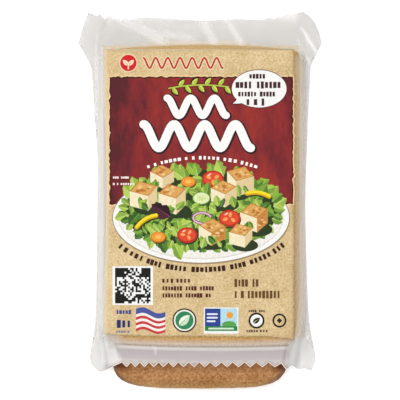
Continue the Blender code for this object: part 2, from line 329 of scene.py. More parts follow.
# ---- The film pouch --------------------------------------------------------------------------
# A tube of clear, slightly milky packing film, sealed and pinked at its far end and cut open
# along a pinked edge at the near end, where a broad seal has left it almost white. The front
# and back films are welded along their folds. Made as two sheets on one flat pattern.
FILM = 0.1 * MM  # thickness of the film
FILM_GRID = 1.0 * MM
PLY = 0.14 * MM  # half the distance between the two films where they lie together
FRONT_LEVEL = 15.1 * MM  # underside of the film on the slab
BACK_LEVEL = 0.12 * MM
POUCH_MIDDLE_X = 0.7 * MM
SHOULDER_HALF, SHOULDER_RUN = 46.6 * MM, 8.0 * MM
FOLD_LEVEL = 6.0 * MM
CLOSED_LINE_Y, CLOSED_RUN, CLOSED_POWER = 80.6 * MM, 14.6 * MM, 1.35
EDGE_SLOPE = 3.0  # how steeply the film may rise from its fold beside the slab
BEYOND_SLAB = (71.0 * MM, 5.0 * MM)  # past the slab's end it rises more softly
FIN_LEVEL, FIN_SLOPE = 3.4 * MM, (24.0 * MM, 20.0 * MM)
MOUTH_FROM_Y = (-52.0 * MM, 24.0 * MM)
MOUTH_SHOULDER_HALF, MOUTH_FOLD_LEVEL = 43.4 * MM, 3.6 * MM
MOUTH_LINE_X, MOUTH_LINE_Y = -35.0 * MM, -72.8 * MM
MOUTH_TEETH, TOOTH_PITCH, TOOTH_DEPTH = 15, 3.92 * MM, 2.2 * MM
TOOTH_GROWTH = 0.12 * MM  # each tooth is this much wider than the last, from left to right
# corners of the ears and torn teeth, and a few points of the soft edges, in millimetres,
# counter-clockwise from the right end of the mouth
RIGHT_MOUTH_EAR = [
    (36.6, -73.3), (38.7, -76.0), (41.5, -74.5), (44.2, -76.3), (47.3, -75.8), (50.2, -77.0),
    (51.8, -73.2),
]
RIGHT_SIDE = [
    (52.0, -70.0), (49.8, -59.0), (48.6, -46.0), (47.4, -2.0), (48.7, 37.0), (49.8, 60.6),
]
RIGHT_EAR = [(54.9, 70.6), (53.5, 76.0), (51.6, 80.3), (49.0, 83.1), (46.5, 84.8)]
RIGHT_TEETH = [(40.4, 83.4), (38.6, 83.9), (37.1, 82.4), (35.9, 83.1), (33.2, 81.6), (31.2, 82.5)]
CLOSED_EDGE = [
    (28.5, 81.3), (14.0, 81.7), (2.5, 81.0), (-11.0, 81.6), (-24.0, 82.5), (-29.6, 82.1),
]
LEFT_TEETH = [
    (-32.2, 81.1), (-33.8, 82.7), (-34.9, 81.6), (-36.5, 82.5), (-39.4, 81.4), (-40.7, 83.8),
    (-43.0, 81.2), (-44.8, 83.6), (-46.6, 83.0),
]
LEFT_EAR = [(-50.4, 84.3), (-52.9, 77.6), (-54.9, 70.9)]
LEFT_SIDE = [
    (-50.0, 62.2), (-48.8, 58.0), (-47.7, 40.0), (-46.3, 20.0), (-46.3, -8.0), (-46.6, -34.0),
    (-47.3, -56.0), (-49.3, -67.5),
]
LEFT_MOUTH_EAR = [
    (-49.7, -71.1), (-49.2, -73.5), (-47.3, -75.9), (-45.3, -77.6), (-42.8, -76.8), (-40.6, -75.6),
    (-38.9, -74.6), (-35.0, -72.8),
]
EDGE_STEP = 1.0 * MM
INSIDE_ONLY, JOIN_DISTANCE = 1, 1e-7  # what the triangulation keeps, and joins
LEFT_FOOT_LOW_Y, LEFT_FOOT_HIGH_Y = -52.0 * MM, 60.0 * MM  # where the left wall's foot is straight
LEFT_FOOT_INNER_X = -40.0 * MM
OPEN_HALF_X, OPEN_Y = 40.5 * MM, MOUTH_LINE_Y + 0.1 * MM  # the two films part at the mouth

SEAL_START_Y, SEAL_REACH = -58.6 * MM, 20.0 * MM
SEAL_BOW, SEAL_BOW_X, SEAL_BOW_HALF = 1.0 * MM, 8.0 * MM, 40.0 * MM
SEAL_LEFT_X, SEAL_LEFT_RUN = -43.6 * MM, 5.0 * MM
SEAL_LEFT_STEP, SEAL_LEFT_STEP_Y = 4.5 * MM, (-68.0 * MM, 3.0 * MM)
SEAL_RIGHT = (40.2 * MM, 0.6 * MM)
SEALED_FROM_Y = (-58.0 * MM, 4.0 * MM)
CLEAR_TINT, WARM_TINT = "#c3c0bc", "#e0c9a0"  # the film's milky cast, and the painted warm light beside the slab and over its far edge
# across the seal, from where it starts: milkiness of one sheet, and its tint
SEAL_LOOK = [
    (0.180, 0.02, "#dacfc2"),
    (0.230, 0.18, "#dacfc2"),
    (0.280, 0.34, "#dacfc2"),
    (0.310, 0.49, "#d8cebf"),
    (0.335, 0.57, "#cfc6bc"),
    # painted shade where the film steps down to the seal, then a painted highlight on its ridge
    (0.364, 0.59, "#9d9180"),
    (0.410, 0.86, "#cbc3be"),
    (0.438, 0.88, "#c6beba"),
    (0.482, 0.90, "#a39a9b"),
    (0.655, 0.90, "#ada3a4"),
    (0.705, 0.90, "#bcb3ae"),
]
# creases of the film in millimetres: start, end, width, height, and how strong the painted
# highlight along each is, painted in white
CREASES = [
    ((-37.6, 83.6), (-14.0, 70.0), 5.0, 0.08, 0.6),
    ((-25.0, 75.6), (-1.0, 72.6), 3.4, 0.05, 0.55),
    ((0.0, 83.6), (7.4, 68.6), 4.2, 0.08, 0.6),
    ((10.6, 83.6), (19.6, 69.0), 3.2, 0.08, 0.6),
    ((45.0, 79.0), (53.8, 64.4), 2.0, 0.2, 0.52),
    ((44.0, 72.4), (50.0, 60.4), 1.8, 0.2, 0.52),
    ((49.6, -61.0), (40.6, -74.6), 1.8, 0.2, 0.5),
    ((42.6, -63.5), (40.2, -75.0), 5.4, 0.06, 0.45),
    ((-44.0, -57.5), (-41.6, -75.5), 5.2, 0.1, 0.66),
    ((-49.4, -64.0), (-46.6, -76.6), 1.8, 0.15, 0.3),
    ((-40.2, -65.0), (-39.8, -74.5), 1.3, 0.2, 0.3),
    ((-41.6, -63.5), (-37.4, -74.0), 5.4, 0.06, 0.62),
    ((-20.9, -65.0), (-19.6, -69.5), 1.1, 0.1, 0.25),
    ((40.6, -65.0), (40.2, -74.5), 1.2, 0.2, 0.3),
]
# the painted highlight falls from this, at this rate, with the share of the width that lies
# across a crease
CREASE_HIGHLIGHT, CREASE_HIGHLIGHT_FALL = 1.6, 2.4
CREASE_PAST, CREASE_FADE_IN, CREASE_FADE_OUT = 0.05, 0.15, 0.2  # shares of a crease's length
CREASE_ON_SLAB = 0.4  # how much of a crease is left where the film lies on the slab
CREASE_FREE = (0.6 * MM, 2.0 * MM)  # how far from the label the film is free to crease
PAPER_LEFT_X, PAPER_RIGHT_X = -43.5 * MM, 42.3 * MM
PAPER_NEAR_Y, PAPER_FAR_Y = -61.2 * MM, 67.9 * MM

# milk in one sheet of film, zone by zone. A span is where its zone starts and how far it takes
# to change, in millimetres, and two values are those at the middle or left and at the right
CLEAR_MILK, OFF_SLAB_MILK, EAR_MILK = 0.07, 0.33, 0.19
CLOUD_MILK, CLOUD_ROOM = 0.02, 11 * MM
OFF_SLAB_FROM, OFF_SLAB_RATE = 1.3, 1.4  # by how full the pouch is
SLAB_END_STARTS, SLAB_END_RUN = (70.4, 68.6), 1.6
SIDES_END = (62.0, 7.0)
LEFT_MILK, LEFT_BAND, LEFT_BAND_END = 0.62, (-40.6, 1.8), (-46.0, 2.5)
RIGHT_MILKS, RIGHT_BAND_END = [(0.27, (41.0, 1.0)), (0.38, (42.3, 2.6))], (47.0, 3.0)
FAR_SIDES, FAR_MILK, FAR_BAND = (14.0, 16.0), 0.26, (65.5, 1.0)
FAR_EDGE_MILKS, FAR_EDGE = (0.1, 0.4), (67.9, 1.7)
RIGHT_HALF = (0.0, 40.0)
FLANK_MILK, FLANK_STARTS, FLANK_RUN = 0.6, (-57.0, -59.5), 6.0  # both sides of the seal
EAR_MIDDLE_X, EAR_STARTS, EAR_WIDENING, EAR_RUN = 1.0, (46.5, 42.0), (74.0, 5.0), 2.5
WARM_BAND, WARM_BAND_END = (40.5, 0.5), (43.2, 5.0)  # lit by the golden slab
# painted light on the film's sloping sides: how much paler it is painted on the left and right
# bands and on the seal's flanks, and how much darker the right flank's outer edge is painted, as
# painted shade
LEFT_PAINTED_LIGHT, LEFT_PAINTED_LIGHT_SPAN, RIGHT_PAINTED_LIGHT = 0.5, (-46.8, 1.0), 0.25
FLANK_PAINTED_LIGHTS, FLANK_EDGE_SHADE, FLANK_EDGE = (0.3, 0.68), 0.28, (45.8, 2.2)

CUT_EDGE = 0.17 * MM  # half the thickness of the round lip along the cut edge, which carries a painted highlight
# pale carries painted light, warm painted warm light from the slab, and white painted highlights
FILM_LOOKS = ("milk", "pale", "warm", "white", "seal", "sealed")


def metres(points):
    return [(x * MM, y * MM) for x, y in points]


def mouth_teeth():
    """The teeth that pinking blades cut across the mouth, from left to right."""
    points = []
    x = MOUTH_LINE_X
    for tooth in range(MOUTH_TEETH):
        pitch = TOOTH_PITCH + TOOTH_GROWTH * tooth
        points.append((x + pitch / 2, MOUTH_LINE_Y - TOOTH_DEPTH))
        x += pitch
        if tooth < MOUTH_TEETH - 1:
            points.append((x, MOUTH_LINE_Y))
    return points


def curve_through(points, steps=6):
    """A smooth line through a few points of an edge, as a Catmull-Rom spline."""
    ends = [points[0], *points, points[-1]]
    line = []
    for a, b, c, d in zip(ends, ends[1:], ends[2:], ends[3:]):
        for step in range(steps):
            t = step / steps
            pull_a = 2 * t**2 - t**3 - t
            pull_b = 2 - 5 * t**2 + 3 * t**3
            pull_c = t + 4 * t**2 - 3 * t**3
            pull_d = t**3 - t**2
            x = pull_a * a[0] + pull_b * b[0] + pull_c * c[0] + pull_d * d[0]
            y = pull_a * a[1] + pull_b * b[1] + pull_c * c[1] + pull_d * d[1]
            line.append((x / 2, y / 2))
    return [*line, points[-1]]


def divided(loop, step):
    """A closed line of points with further points on its long stretches."""
    line = []
    for (x0, y0), (x1, y1) in zip(loop, loop[1:] + loop[:1]):
        count = max(1, round(math.hypot(x1 - x0, y1 - y0) / step))
        line += [(x0 + (x1 - x0) * i / count, y0 + (y1 - y0) * i / count) for i in range(count)]
    return line


def filled(outlines, grid=None):
    """Fills closed outlines that may cross each other. Gives flat points, triangles, and for
    each triangle the numbers of the outlines that it lies in. A grid adds inner points."""
    points, edges, faces = [], [], []
    for outline in outlines:
        first = len(points)
        count = len(outline)
        points += [Vector(point) for point in outline]
        edges += [(first + i, first + (i + 1) % count) for i in range(count)]
        faces.append(list(range(first, first + count)))
    if grid:
        low_x, high_x = min(p.x for p in points), max(p.x for p in points)
        low_y, high_y = min(p.y for p in points), max(p.y for p in points)
        taken = {(round(p.x / grid), round(p.y / grid)) for p in points}
        for j in range(math.floor(low_y / grid), math.ceil(high_y / grid) + 1):
            for i in range(math.floor(low_x / grid), math.ceil(high_x / grid) + 1):
                if (i, j) not in taken:
                    points.append(Vector((i * grid, j * grid)))
    made = delaunay_2d_cdt(points, edges, faces, INSIDE_ONLY, JOIN_DISTANCE)
    flat_points, _, triangles, _, _, sources = made
    return [tuple(point) for point in flat_points], [list(t) for t in triangles], sources


def blend(start, end, share):
    return start + (end - start) * share


def quarter_round(value):
    t = 1 - max(0.0, min(1.0, value))
    return math.sqrt(1 - t * t)


def mouth_share(y):
    """1 at the mouth, where the pouch is slimmer and lower, and 0 away from it."""
    return fall(y, MOUTH_FROM_Y)


def fullness(x, y):
    """1 where the film lies flat on the slab, 0 where both films lie together."""
    shoulder = blend(SHOULDER_HALF, MOUTH_SHOULDER_HALF, mouth_share(y))
    inward = max(0.0, (shoulder - abs(x - POUCH_MIDDLE_X)) / SHOULDER_RUN)
    across = min(quarter_round(inward), EDGE_SLOPE * inward)
    across = blend(across, smooth_step(inward), rise(y, BEYOND_SLAB))
    down = 1 - max(0.0, min(1.0, (CLOSED_LINE_Y - y) / CLOSED_RUN))
    return across * (1 - down**CLOSED_POWER)


def fold_level(x, y):
    """Height at which the two films lie together beside the slab and past its end."""
    towards_fin = smooth_step((y - CLOSED_LINE_Y) / CLOSED_RUN + 1)
    height = blend(FOLD_LEVEL, FIN_LEVEL, towards_fin * (1 - rise(abs(x), FIN_SLOPE)))
    return blend(height, MOUTH_FOLD_LEVEL, mouth_share(y))


def beyond_paper(x, y):
    """0 under the label and 1 a little way beyond its edges."""
    out_x = max(PAPER_LEFT_X - x, x - PAPER_RIGHT_X)
    out_y = max(PAPER_NEAR_Y - y, y - PAPER_FAR_Y)
    return rise(max(out_x, out_y), CREASE_FREE)


def creasing(x, y):
    """How far the creases lift the film, and how strong the painted highlight along them is."""
    lift = white = 0.0
    for (x0, y0), (x1, y1), width, height, highlight in CREASES:
        length = math.hypot(x1 - x0, y1 - y0)
        ux, uy = (x1 - x0) / length, (y1 - y0) / length
        px, py = x / MM - x0, y / MM - y0
        along = (px * ux + py * uy) / length
        across = abs(px * uy - py * ux)
        if -CREASE_PAST < along < 1 + CREASE_PAST and across < width:
            fade = rise(along, (-CREASE_PAST, CREASE_FADE_IN))
            fade *= fall(along, (1 + CREASE_PAST, CREASE_FADE_OUT))
            lift += height * MM * smooth_step(1 - across / width) * fade
            whitest = smooth_step(CREASE_HIGHLIGHT - across / width * CREASE_HIGHLIGHT_FALL)
            white = max(white, highlight * whitest * fade)
    shown = beyond_paper(x, y)
    return lift * shown, white * shown


def front_film(x, y):
    """Height of the front film's inner face."""
    full = fullness(x, y)
    lift = creasing(x, y)[0]
    loose = fold_level(x, y) + PLY + lift * (1 - full)
    return blend(loose, FRONT_LEVEL, full) + CREASE_ON_SLAB * lift * full


def back_film(x, y):
    """Height of the back film's inner face."""
    full = fullness(x, y)
    loose = fold_level(x, y) - PLY + creasing(x, y)[0] * (1 - full)
    return blend(loose, BACK_LEVEL, full)


def milkiness(x, y):
    """How milky one sheet is, from 0 for clear to 1 for white, how much painted light makes it
    paler, and how much painted warm light from the golden slab it takes."""
    full = fullness(x, min(y, CLOSED_LINE_Y - CLOSED_RUN))
    cloud = noise.noise(Vector((x, y, 0.0)) / CLOUD_ROOM)
    at_seal = seal_share(x, y)
    x, y = x / MM, y / MM

    far_side = rise(abs(x), FAR_SIDES)
    off_slab = smooth_step(OFF_SLAB_FROM - full * OFF_SLAB_RATE)
    off_slab = max(off_slab, rise(y, (blend(*SLAB_END_STARTS, far_side), SLAB_END_RUN)))
    beside = 1 - rise(y, SIDES_END)
    left = fall(x, LEFT_BAND) * beside * (1 - fall(x, LEFT_BAND_END))
    right = sum(milk * rise(x, span) for milk, span in RIGHT_MILKS)
    right *= beside * (1 - rise(x, RIGHT_BAND_END))
    far = FAR_MILK * rise(y, FAR_BAND) + blend(*FAR_EDGE_MILKS, far_side) * rise(y, FAR_EDGE)
    at_right = rise(x, RIGHT_HALF)
    flank = fall(y, (blend(*FLANK_STARTS, at_right), FLANK_RUN))
    ear = rise(abs(x - EAR_MIDDLE_X), (blend(*EAR_STARTS, rise(y, EAR_WIDENING)), EAR_RUN))
    grey = OFF_SLAB_MILK + EAR_MILK * ear + CLOUD_MILK * cloud
    milk = max(blend(CLEAR_MILK, grey, off_slab), LEFT_MILK * left, right, far * (1 - off_slab))

    # painted warm light: beside the slab, and over the slab's far edge, where the far milk carries
    # it as the slab turns away from the lamps
    warm = rise(x, WARM_BAND) * beside * (1 - rise(x, WARM_BAND_END))
    warm = max(warm, rise(y, FAR_BAND) * (1 - off_slab))
    # painted light: paler on the left and right bands and on the seal's flanks, painted darker at
    # the right flank's outer edge as painted shade, and none on the seal itself
    painted_light_side = LEFT_PAINTED_LIGHT * left * rise(x, LEFT_PAINTED_LIGHT_SPAN) + RIGHT_PAINTED_LIGHT * right
    painted_light_flank = blend(*FLANK_PAINTED_LIGHTS, at_right) - FLANK_EDGE_SHADE * rise(x, FLANK_EDGE)
    pale = blend(painted_light_side, painted_light_flank, flank) * (1 - at_seal * flank)
    return blend(milk, FLANK_MILK, flank), pale, warm * (1 - flank)


def seal_share(x, y):
    """How far the broad seal reaches across the film: it fades out at the left end."""
    start = SEAL_LEFT_X + SEAL_LEFT_STEP * rise(y, SEAL_LEFT_STEP_Y)
    return rise(x, (start, SEAL_LEFT_RUN)) * fall(x, SEAL_RIGHT)


def packing_film():
    """Co-extruded film: clear with a milky cast, glossy, and white where it is sealed. Painted
    light, painted warm light and painted highlights along its creases make it paler in places.
    """
    made, tree, shader = new_material("packing_film", 0.16)
    look = {
        name: add_node(tree, "ShaderNodeAttribute", attribute_name=name).outputs["Fac"]
        for name in FILM_LOOKS
    }
    steps = [(0.0, 0.0, CLEAR_TINT), *SEAL_LOOK]
    seal_tint = add_node(tree, "ShaderNodeValToRGB", [("Fac", look["seal"])])
    set_tones(seal_tint, [(place, colour) for place, _, colour in steps])
    seal_cover = add_node(tree, "ShaderNodeValToRGB", [("Fac", look["seal"])])
    set_tones(seal_cover, [(place, (sheet, sheet, sheet, 1.0)) for place, sheet, _ in steps])
    milk = add_node(
        tree,
        "ShaderNodeMix",
        [("Factor", look["sealed"]), ("A", look["milk"]), ("B", seal_cover.outputs["Color"])],
    )
    # a crease's painted highlight makes the film at least as pale and as thick as it is strong
    paled, cover = [
        add_node(
            tree, "ShaderNodeMath", [(0, look["white"]), (1, other)], operation="MAXIMUM"
        ).outputs[0]
        for other in (look["pale"], milk.outputs[0])
    ]
    # painted warm light, the seal's own tint, then painted light and highlights towards white
    layers = [
        (look["warm"], linear(WARM_TINT)),
        (look["sealed"], seal_tint.outputs["Color"]),
        (paled, WHITE),
    ]
    colour = linear(CLEAR_TINT)
    for share, over in layers:
        mix = add_node(
            tree,
            "ShaderNodeMix",
            [("Factor", share), (COLOUR_A, colour), (COLOUR_B, over)],
            data_type="RGBA",
        )
        colour = mix.outputs[MIXED_COLOUR]
    # half of a sheet's milk on each of its two faces
    clear = add_node(tree, "ShaderNodeMath", [(0, 1.0), (1, cover)], operation="SUBTRACT")
    root = add_node(tree, "ShaderNodeMath", [(0, clear.outputs[0])], operation="SQRT")
    face = add_node(tree, "ShaderNodeMath", [(0, 1.0), (1, root.outputs[0])], operation="SUBTRACT")
    set_inputs(tree, shader, [("Base Color", colour), ("Alpha", face.outputs[0])])
    return made


def pouch_pattern():
    return [
        *mouth_teeth(),
        *metres(RIGHT_MOUTH_EAR),
        *curve_through(metres(RIGHT_SIDE)),
        *metres(RIGHT_EAR),
        *metres(RIGHT_TEETH),
        *curve_through(metres(CLOSED_EDGE)),
        *metres(LEFT_TEETH),
        *metres(LEFT_EAR),
        *curve_through(metres(LEFT_SIDE)),
        *metres(LEFT_MOUTH_EAR),
    ]


def grown_mesh(name, points, edges, faces, tree, values):
    """Puts points, edges or faces through a Geometry Nodes tree and gives a plain mesh object.
    Values are set by the names of the tree's inputs."""
    mesh = bpy.data.meshes.new(name)
    mesh.from_pydata(points, edges, faces)
    draft = in_scene(name + "_draft", mesh)
    modifier = draft.modifiers.new("grow", "NODES")
    modifier.node_group = tree
    sockets = {item.name: item.identifier for item in tree.interface.items_tree}
    for title, value in values.items():
        modifier[sockets[title]] = value
    return evaluated_copy(draft, name)


def new_tree(name, inputs):
    """A Geometry Nodes tree with one geometry in, one out and further inputs of given kinds."""
    tree = bpy.data.node_groups.new(name, "GeometryNodeTree")
    tree.interface.new_socket("Geometry", in_out="INPUT", socket_type="NodeSocketGeometry")
    for title, kind in inputs:
        tree.interface.new_socket(title, in_out="INPUT", socket_type="NodeSocket" + kind)
    tree.interface.new_socket("Result", in_out="OUTPUT", socket_type="NodeSocketGeometry")
    return tree, add_node(tree, "NodeGroupInput").outputs


def end_tree(tree, geometry, material):
    """Ends a tree: instances are made real, then given their material."""
    real = add_node(tree, "GeometryNodeRealizeInstances", [("Geometry", geometry)])
    inked = add_node(
        tree,
        "GeometryNodeSetMaterial",
        [("Geometry", real.outputs["Geometry"]), ("Material", material)],
    )
    add_node(tree, "NodeGroupOutput", [("Result", inked.outputs["Geometry"])])
    return tree


def lip_tree():
    """A thin round lip along a line."""
    tree, given = new_tree("lip", [("Radius", "Float"), ("Film", "Material")])
    path = add_node(tree, "GeometryNodeMeshToCurve", [("Mesh", given["Geometry"])])
    ring = add_node(
        tree,
        "GeometryNodeCurvePrimitiveCircle",
        [("Resolution", 6), ("Radius", given["Radius"])],
    )
    lip = add_node(
        tree,
        "GeometryNodeCurveToMesh",
        [
            ("Curve", path.outputs["Curve"]),
            ("Profile Curve", ring.outputs["Curve"]),
            ("Fill Caps", True),
        ],
    )
    return end_tree(tree, lip.outputs["Mesh"], given["Film"])


def make_cut_edge():
    """The film's cut edge along the mouth as a thin round lip, coloured near white: a painted
    highlight where the edge catches the light.
    """
    made, tree, shader = new_material("edge_highlight_film", 0.4)
    # painted highlight: the lip is coloured almost white
    set_inputs(tree, shader, [("Base Color", linear("#f4e2d6"))])
    line = [metres(LEFT_MOUTH_EAR)[-2:], mouth_teeth(), metres(RIGHT_MOUTH_EAR)[:2]]
    line = divided(sum(line, []), EDGE_STEP)
    line = line[: line.index(metres(RIGHT_MOUTH_EAR)[1]) + 1]
    points = [(x, y, front_film(x, y) + FILM) for x, y in line]
    steps = [(i, i + 1) for i in range(len(points) - 1)]
    lip = grown_mesh("cut_edge_highlight", points, steps, [], lip_tree(), {"Radius": CUT_EDGE, "Film": made})
    lip.data.shade_smooth()
    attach(lip, "root")


def left_foot():
    """An inner outline along the foot of the left wall, so that the film bends straight there."""
    foot_x, low, high = POUCH_MIDDLE_X - SHOULDER_HALF, LEFT_FOOT_LOW_Y, LEFT_FOOT_HIGH_Y
    return [(foot_x, low), (LEFT_FOOT_INNER_X, low), (LEFT_FOOT_INNER_X, high), (foot_x, high)]


def rounded(x, y):
    return round(x / SAME_PLACE), round(y / SAME_PLACE)


def thicken(sheet, thickness, side):
    """Gives a sheet its thickness, out of the side that it faces (1) or behind it (-1)."""
    wall = sheet.modifiers.new("thickness", "SOLIDIFY")
    wall.thickness, wall.offset = thickness, side


def make_pouch():
    outline = divided(pouch_pattern(), EDGE_STEP)
    flat_points, triangles, _ = filled([outline, divided(left_foot(), EDGE_STEP)], FILM_GRID)
    on_edge = {rounded(x, y) for x, y in outline}
    points = [(x, y, front_film(x, y)) for x, y in flat_points]
    partner = {}
    for index, (x, y) in enumerate(flat_points):
        if rounded(x, y) in on_edge and not (y < OPEN_Y and abs(x) < OPEN_HALF_X):
            points[index] = (x, y, fold_level(x, y) + creasing(x, y)[0])
            partner[index] = index
        else:
            partner[index] = len(points)
            points.append((x, y, back_film(x, y)))
    back = [tuple(partner[i] for i in reversed(t)) for t in triangles]
    pouch = mesh_object("film_pouch", points, triangles + back, packing_film())
    shape = bmesh.new()
    shape.from_mesh(pouch.data)
    shape.faces.ensure_lookup_table()
    for edge in shape.edges:  # the weld between the films is a crisp fold
        edge.smooth = len({face.index < len(triangles) for face in edge.link_faces}) < 2
    bmesh.ops.recalc_face_normals(shape, faces=shape.faces)
    shape.to_mesh(pouch.data)
    shape.free()
    for name in FILM_LOOKS:
        pouch.data.attributes.new(name, "FLOAT", "POINT")
    looks = {name: pouch.data.attributes[name].data for name in FILM_LOOKS}
    for index, vertex in enumerate(pouch.data.vertices):
        x, y, _ = vertex.co
        for name, value in zip(("milk", "pale", "warm"), milkiness(x, y)):
            looks[name][index].value = value
        # painted highlights along the creases
        looks["white"][index].value = creasing(x, y)[1]
        start = SEAL_START_Y + SEAL_BOW * ((x - SEAL_BOW_X) / SEAL_BOW_HALF) ** 2
        looks["seal"][index].value = (start - y) / SEAL_REACH
        looks["sealed"][index].value = seal_share(x, y) * fall(y, SEALED_FROM_Y)
    pouch.data.shade_smooth()
    thicken(pouch, FILM, 1.0)
    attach(pouch, "root")
    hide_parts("pouch")


make_pouch()
make_cut_edge()


# ---- The paper label -------------------------------------------------------------------------
# A sheet of uncoated kraft paper, flecked with bark, stuck to the front film and curling down
# a little over both shoulders of the slab. Its right and near edges are torn along a rule.
PAPER = 0.2 * MM
PAPER_GRID, PAPER_EDGE_STEP = 1.0 * MM, 4.0 * MM
FIBRE_SIZE = 0.8 * MM  # real fibres are 0.03 mm thick: drawn as coarse as they need to show
CLOUD_SIZE = 11.0 * MM
PAPER_BOW = 1.1 * MM  # how far the left edge is drawn in at its middle
LEFT_EDGE_HIGHLIGHT_RUN = 2.4 * MM
PAPER_GAP = 0.05 * MM
RIGHT_SHOULDER = (34.0 * MM, 4.0 * MM)  # where the paper starts to bend down less than the film
# the paper's tones, and the colour of the painted highlight along its left edge
KRAFT_TONES, LEFT_EDGE_HIGHLIGHT_TONE = [(0.44, "#aa8c59"), (0.88, "#d7c39b")], "#cbbda6"
CLOUD_SHARE = 0.3
FIBRE_BUMP = 0.03 * MM
NEAR_EDGE = [(-30.0, -61.0), (-18.0, -61.3), (32.0, -61.4)]  # millimetres, between the corners
NEAR_LEFT_Y, NEAR_RIGHT_Y = -60.2 * MM, -62.7 * MM
TEAR_STEP, TEAR_DEPTH = 0.7 * MM, 0.4 * MM
TEAR_WAVES = 0.37  # swings of a torn line for each of its steps
FLECK_COUNT = 420
FLECK_SIZE = 0.28 * MM
FLECK_HEIGHT = 0.02 * MM
FLECK_SHAPES = (0.5, 0.3, 1.0), (1.5, 0.6, 1.0)  # slimmest and broadest, as shares of the size
FLECK_SEED = 4
INK_ROUGHNESS, INK_GLOSS = 0.5, 0.08


def paper_level(x, y):
    """Height of the paper's upper face."""
    full = fullness(x, y)
    full = blend(full, math.sqrt(full), rise(x, RIGHT_SHOULDER))
    return blend(fold_level(x, y) + PLY, FRONT_LEVEL, full) + FILM + PAPER + PAPER_GAP


def kraft_paper():
    """Recycled kraft: dull, finely speckled, with a painted highlight where it curls down at the
    left.
    """
    made, tree, shader = new_material("kraft_paper", 0.75, 0.25)
    place = add_node(tree, "ShaderNodeTexCoord").outputs["Object"]
    fibres = add_node(
        tree,
        "ShaderNodeTexNoise",
        [("Vector", place), ("Scale", 1 / FIBRE_SIZE), ("Detail", 3.0), ("Roughness", 0.75)],
    )
    clouds = add_node(
        tree,
        "ShaderNodeTexNoise",
        [("Vector", place), ("Scale", 1 / CLOUD_SIZE), ("Detail", 2.0)],
    )
    mottle = add_node(
        tree,
        "ShaderNodeMath",
        [(0, clouds.outputs["Fac"]), (1, CLOUD_SHARE), (2, fibres.outputs["Fac"])],
        operation="MULTIPLY_ADD",
    )
    ramp = add_node(tree, "ShaderNodeValToRGB", [("Fac", mottle.outputs[0])])
    set_tones(ramp, KRAFT_TONES)
    # painted highlight along the left edge, where the paper curls down
    curl = add_node(tree, "ShaderNodeAttribute", attribute_name="left_edge_highlight")
    left_edge_highlight = add_node(
        tree,
        "ShaderNodeMix",
        [
            ("Factor", curl.outputs["Fac"]),
            (COLOUR_A, ramp.outputs["Color"]),
            (COLOUR_B, linear(LEFT_EDGE_HIGHLIGHT_TONE)),
        ],
        data_type="RGBA",
    )
    colour = left_edge_highlight.outputs[MIXED_COLOUR]
    bump = add_node(
        tree,
        "ShaderNodeBump",
        [("Height", fibres.outputs["Fac"]), ("Distance", FIBRE_BUMP), ("Strength", 0.4)],
    )
    set_inputs(tree, shader, [("Base Color", colour), ("Normal", bump.outputs["Normal"])])
    return made


def ink(name, hex_colour, roughness=INK_ROUGHNESS):
    """Offset printing ink: a thin, even, satin layer of one colour."""
    made, tree, shader = new_material(name, roughness, INK_GLOSS)
    set_inputs(tree, shader, [("Base Color", linear(hex_colour))])
    return made


def torn(start, end, step, depth, seed):
    """A torn line from start up to, not including, end."""
    (x0, y0), (x1, y1) = start, end
    length = math.hypot(x1 - x0, y1 - y0)
    count = round(length / step)
    line = [start]
    for i in range(1, count):
        along = i / count
        swing = Vector((along * length / step * TEAR_WAVES, seed, 0.0))
        pull = depth * noise.turbulence(swing, 3, False)
        x, y = x0 + (x1 - x0) * along, y0 + (y1 - y0) * along
        line.append((x + (y1 - y0) / length * pull, y - (x1 - x0) / length * pull))
    return line


def paper_left(y):
    """The left edge of the paper, drawn in at its middle where it curls down."""
    share = (y - PAPER_NEAR_Y) / (PAPER_FAR_Y - PAPER_NEAR_Y)
    return PAPER_LEFT_X + PAPER_BOW * math.sin(math.pi * max(0.0, min(1.0, share))) ** 2


def paper_outline():
    near_left = (PAPER_LEFT_X, NEAR_LEFT_Y)
    near_right = (PAPER_RIGHT_X, NEAR_RIGHT_Y)
    far_right = (PAPER_RIGHT_X, PAPER_FAR_Y)
    near = [near_left, *metres(NEAR_EDGE), near_right]
    outline = []
    for start, end in zip(near, near[1:]):
        outline += torn(start, end, TEAR_STEP, TEAR_DEPTH, 1.0)
    outline += torn(near_right, far_right, TEAR_STEP, -TEAR_DEPTH, 2.0)
    outline.append(far_right)
    count = round((PAPER_FAR_Y - NEAR_LEFT_Y) / PAPER_EDGE_STEP)
    for i in range(count):
        y = blend(PAPER_FAR_Y, NEAR_LEFT_Y, i / count)
        outline.append((paper_left(y), y))
    return outline


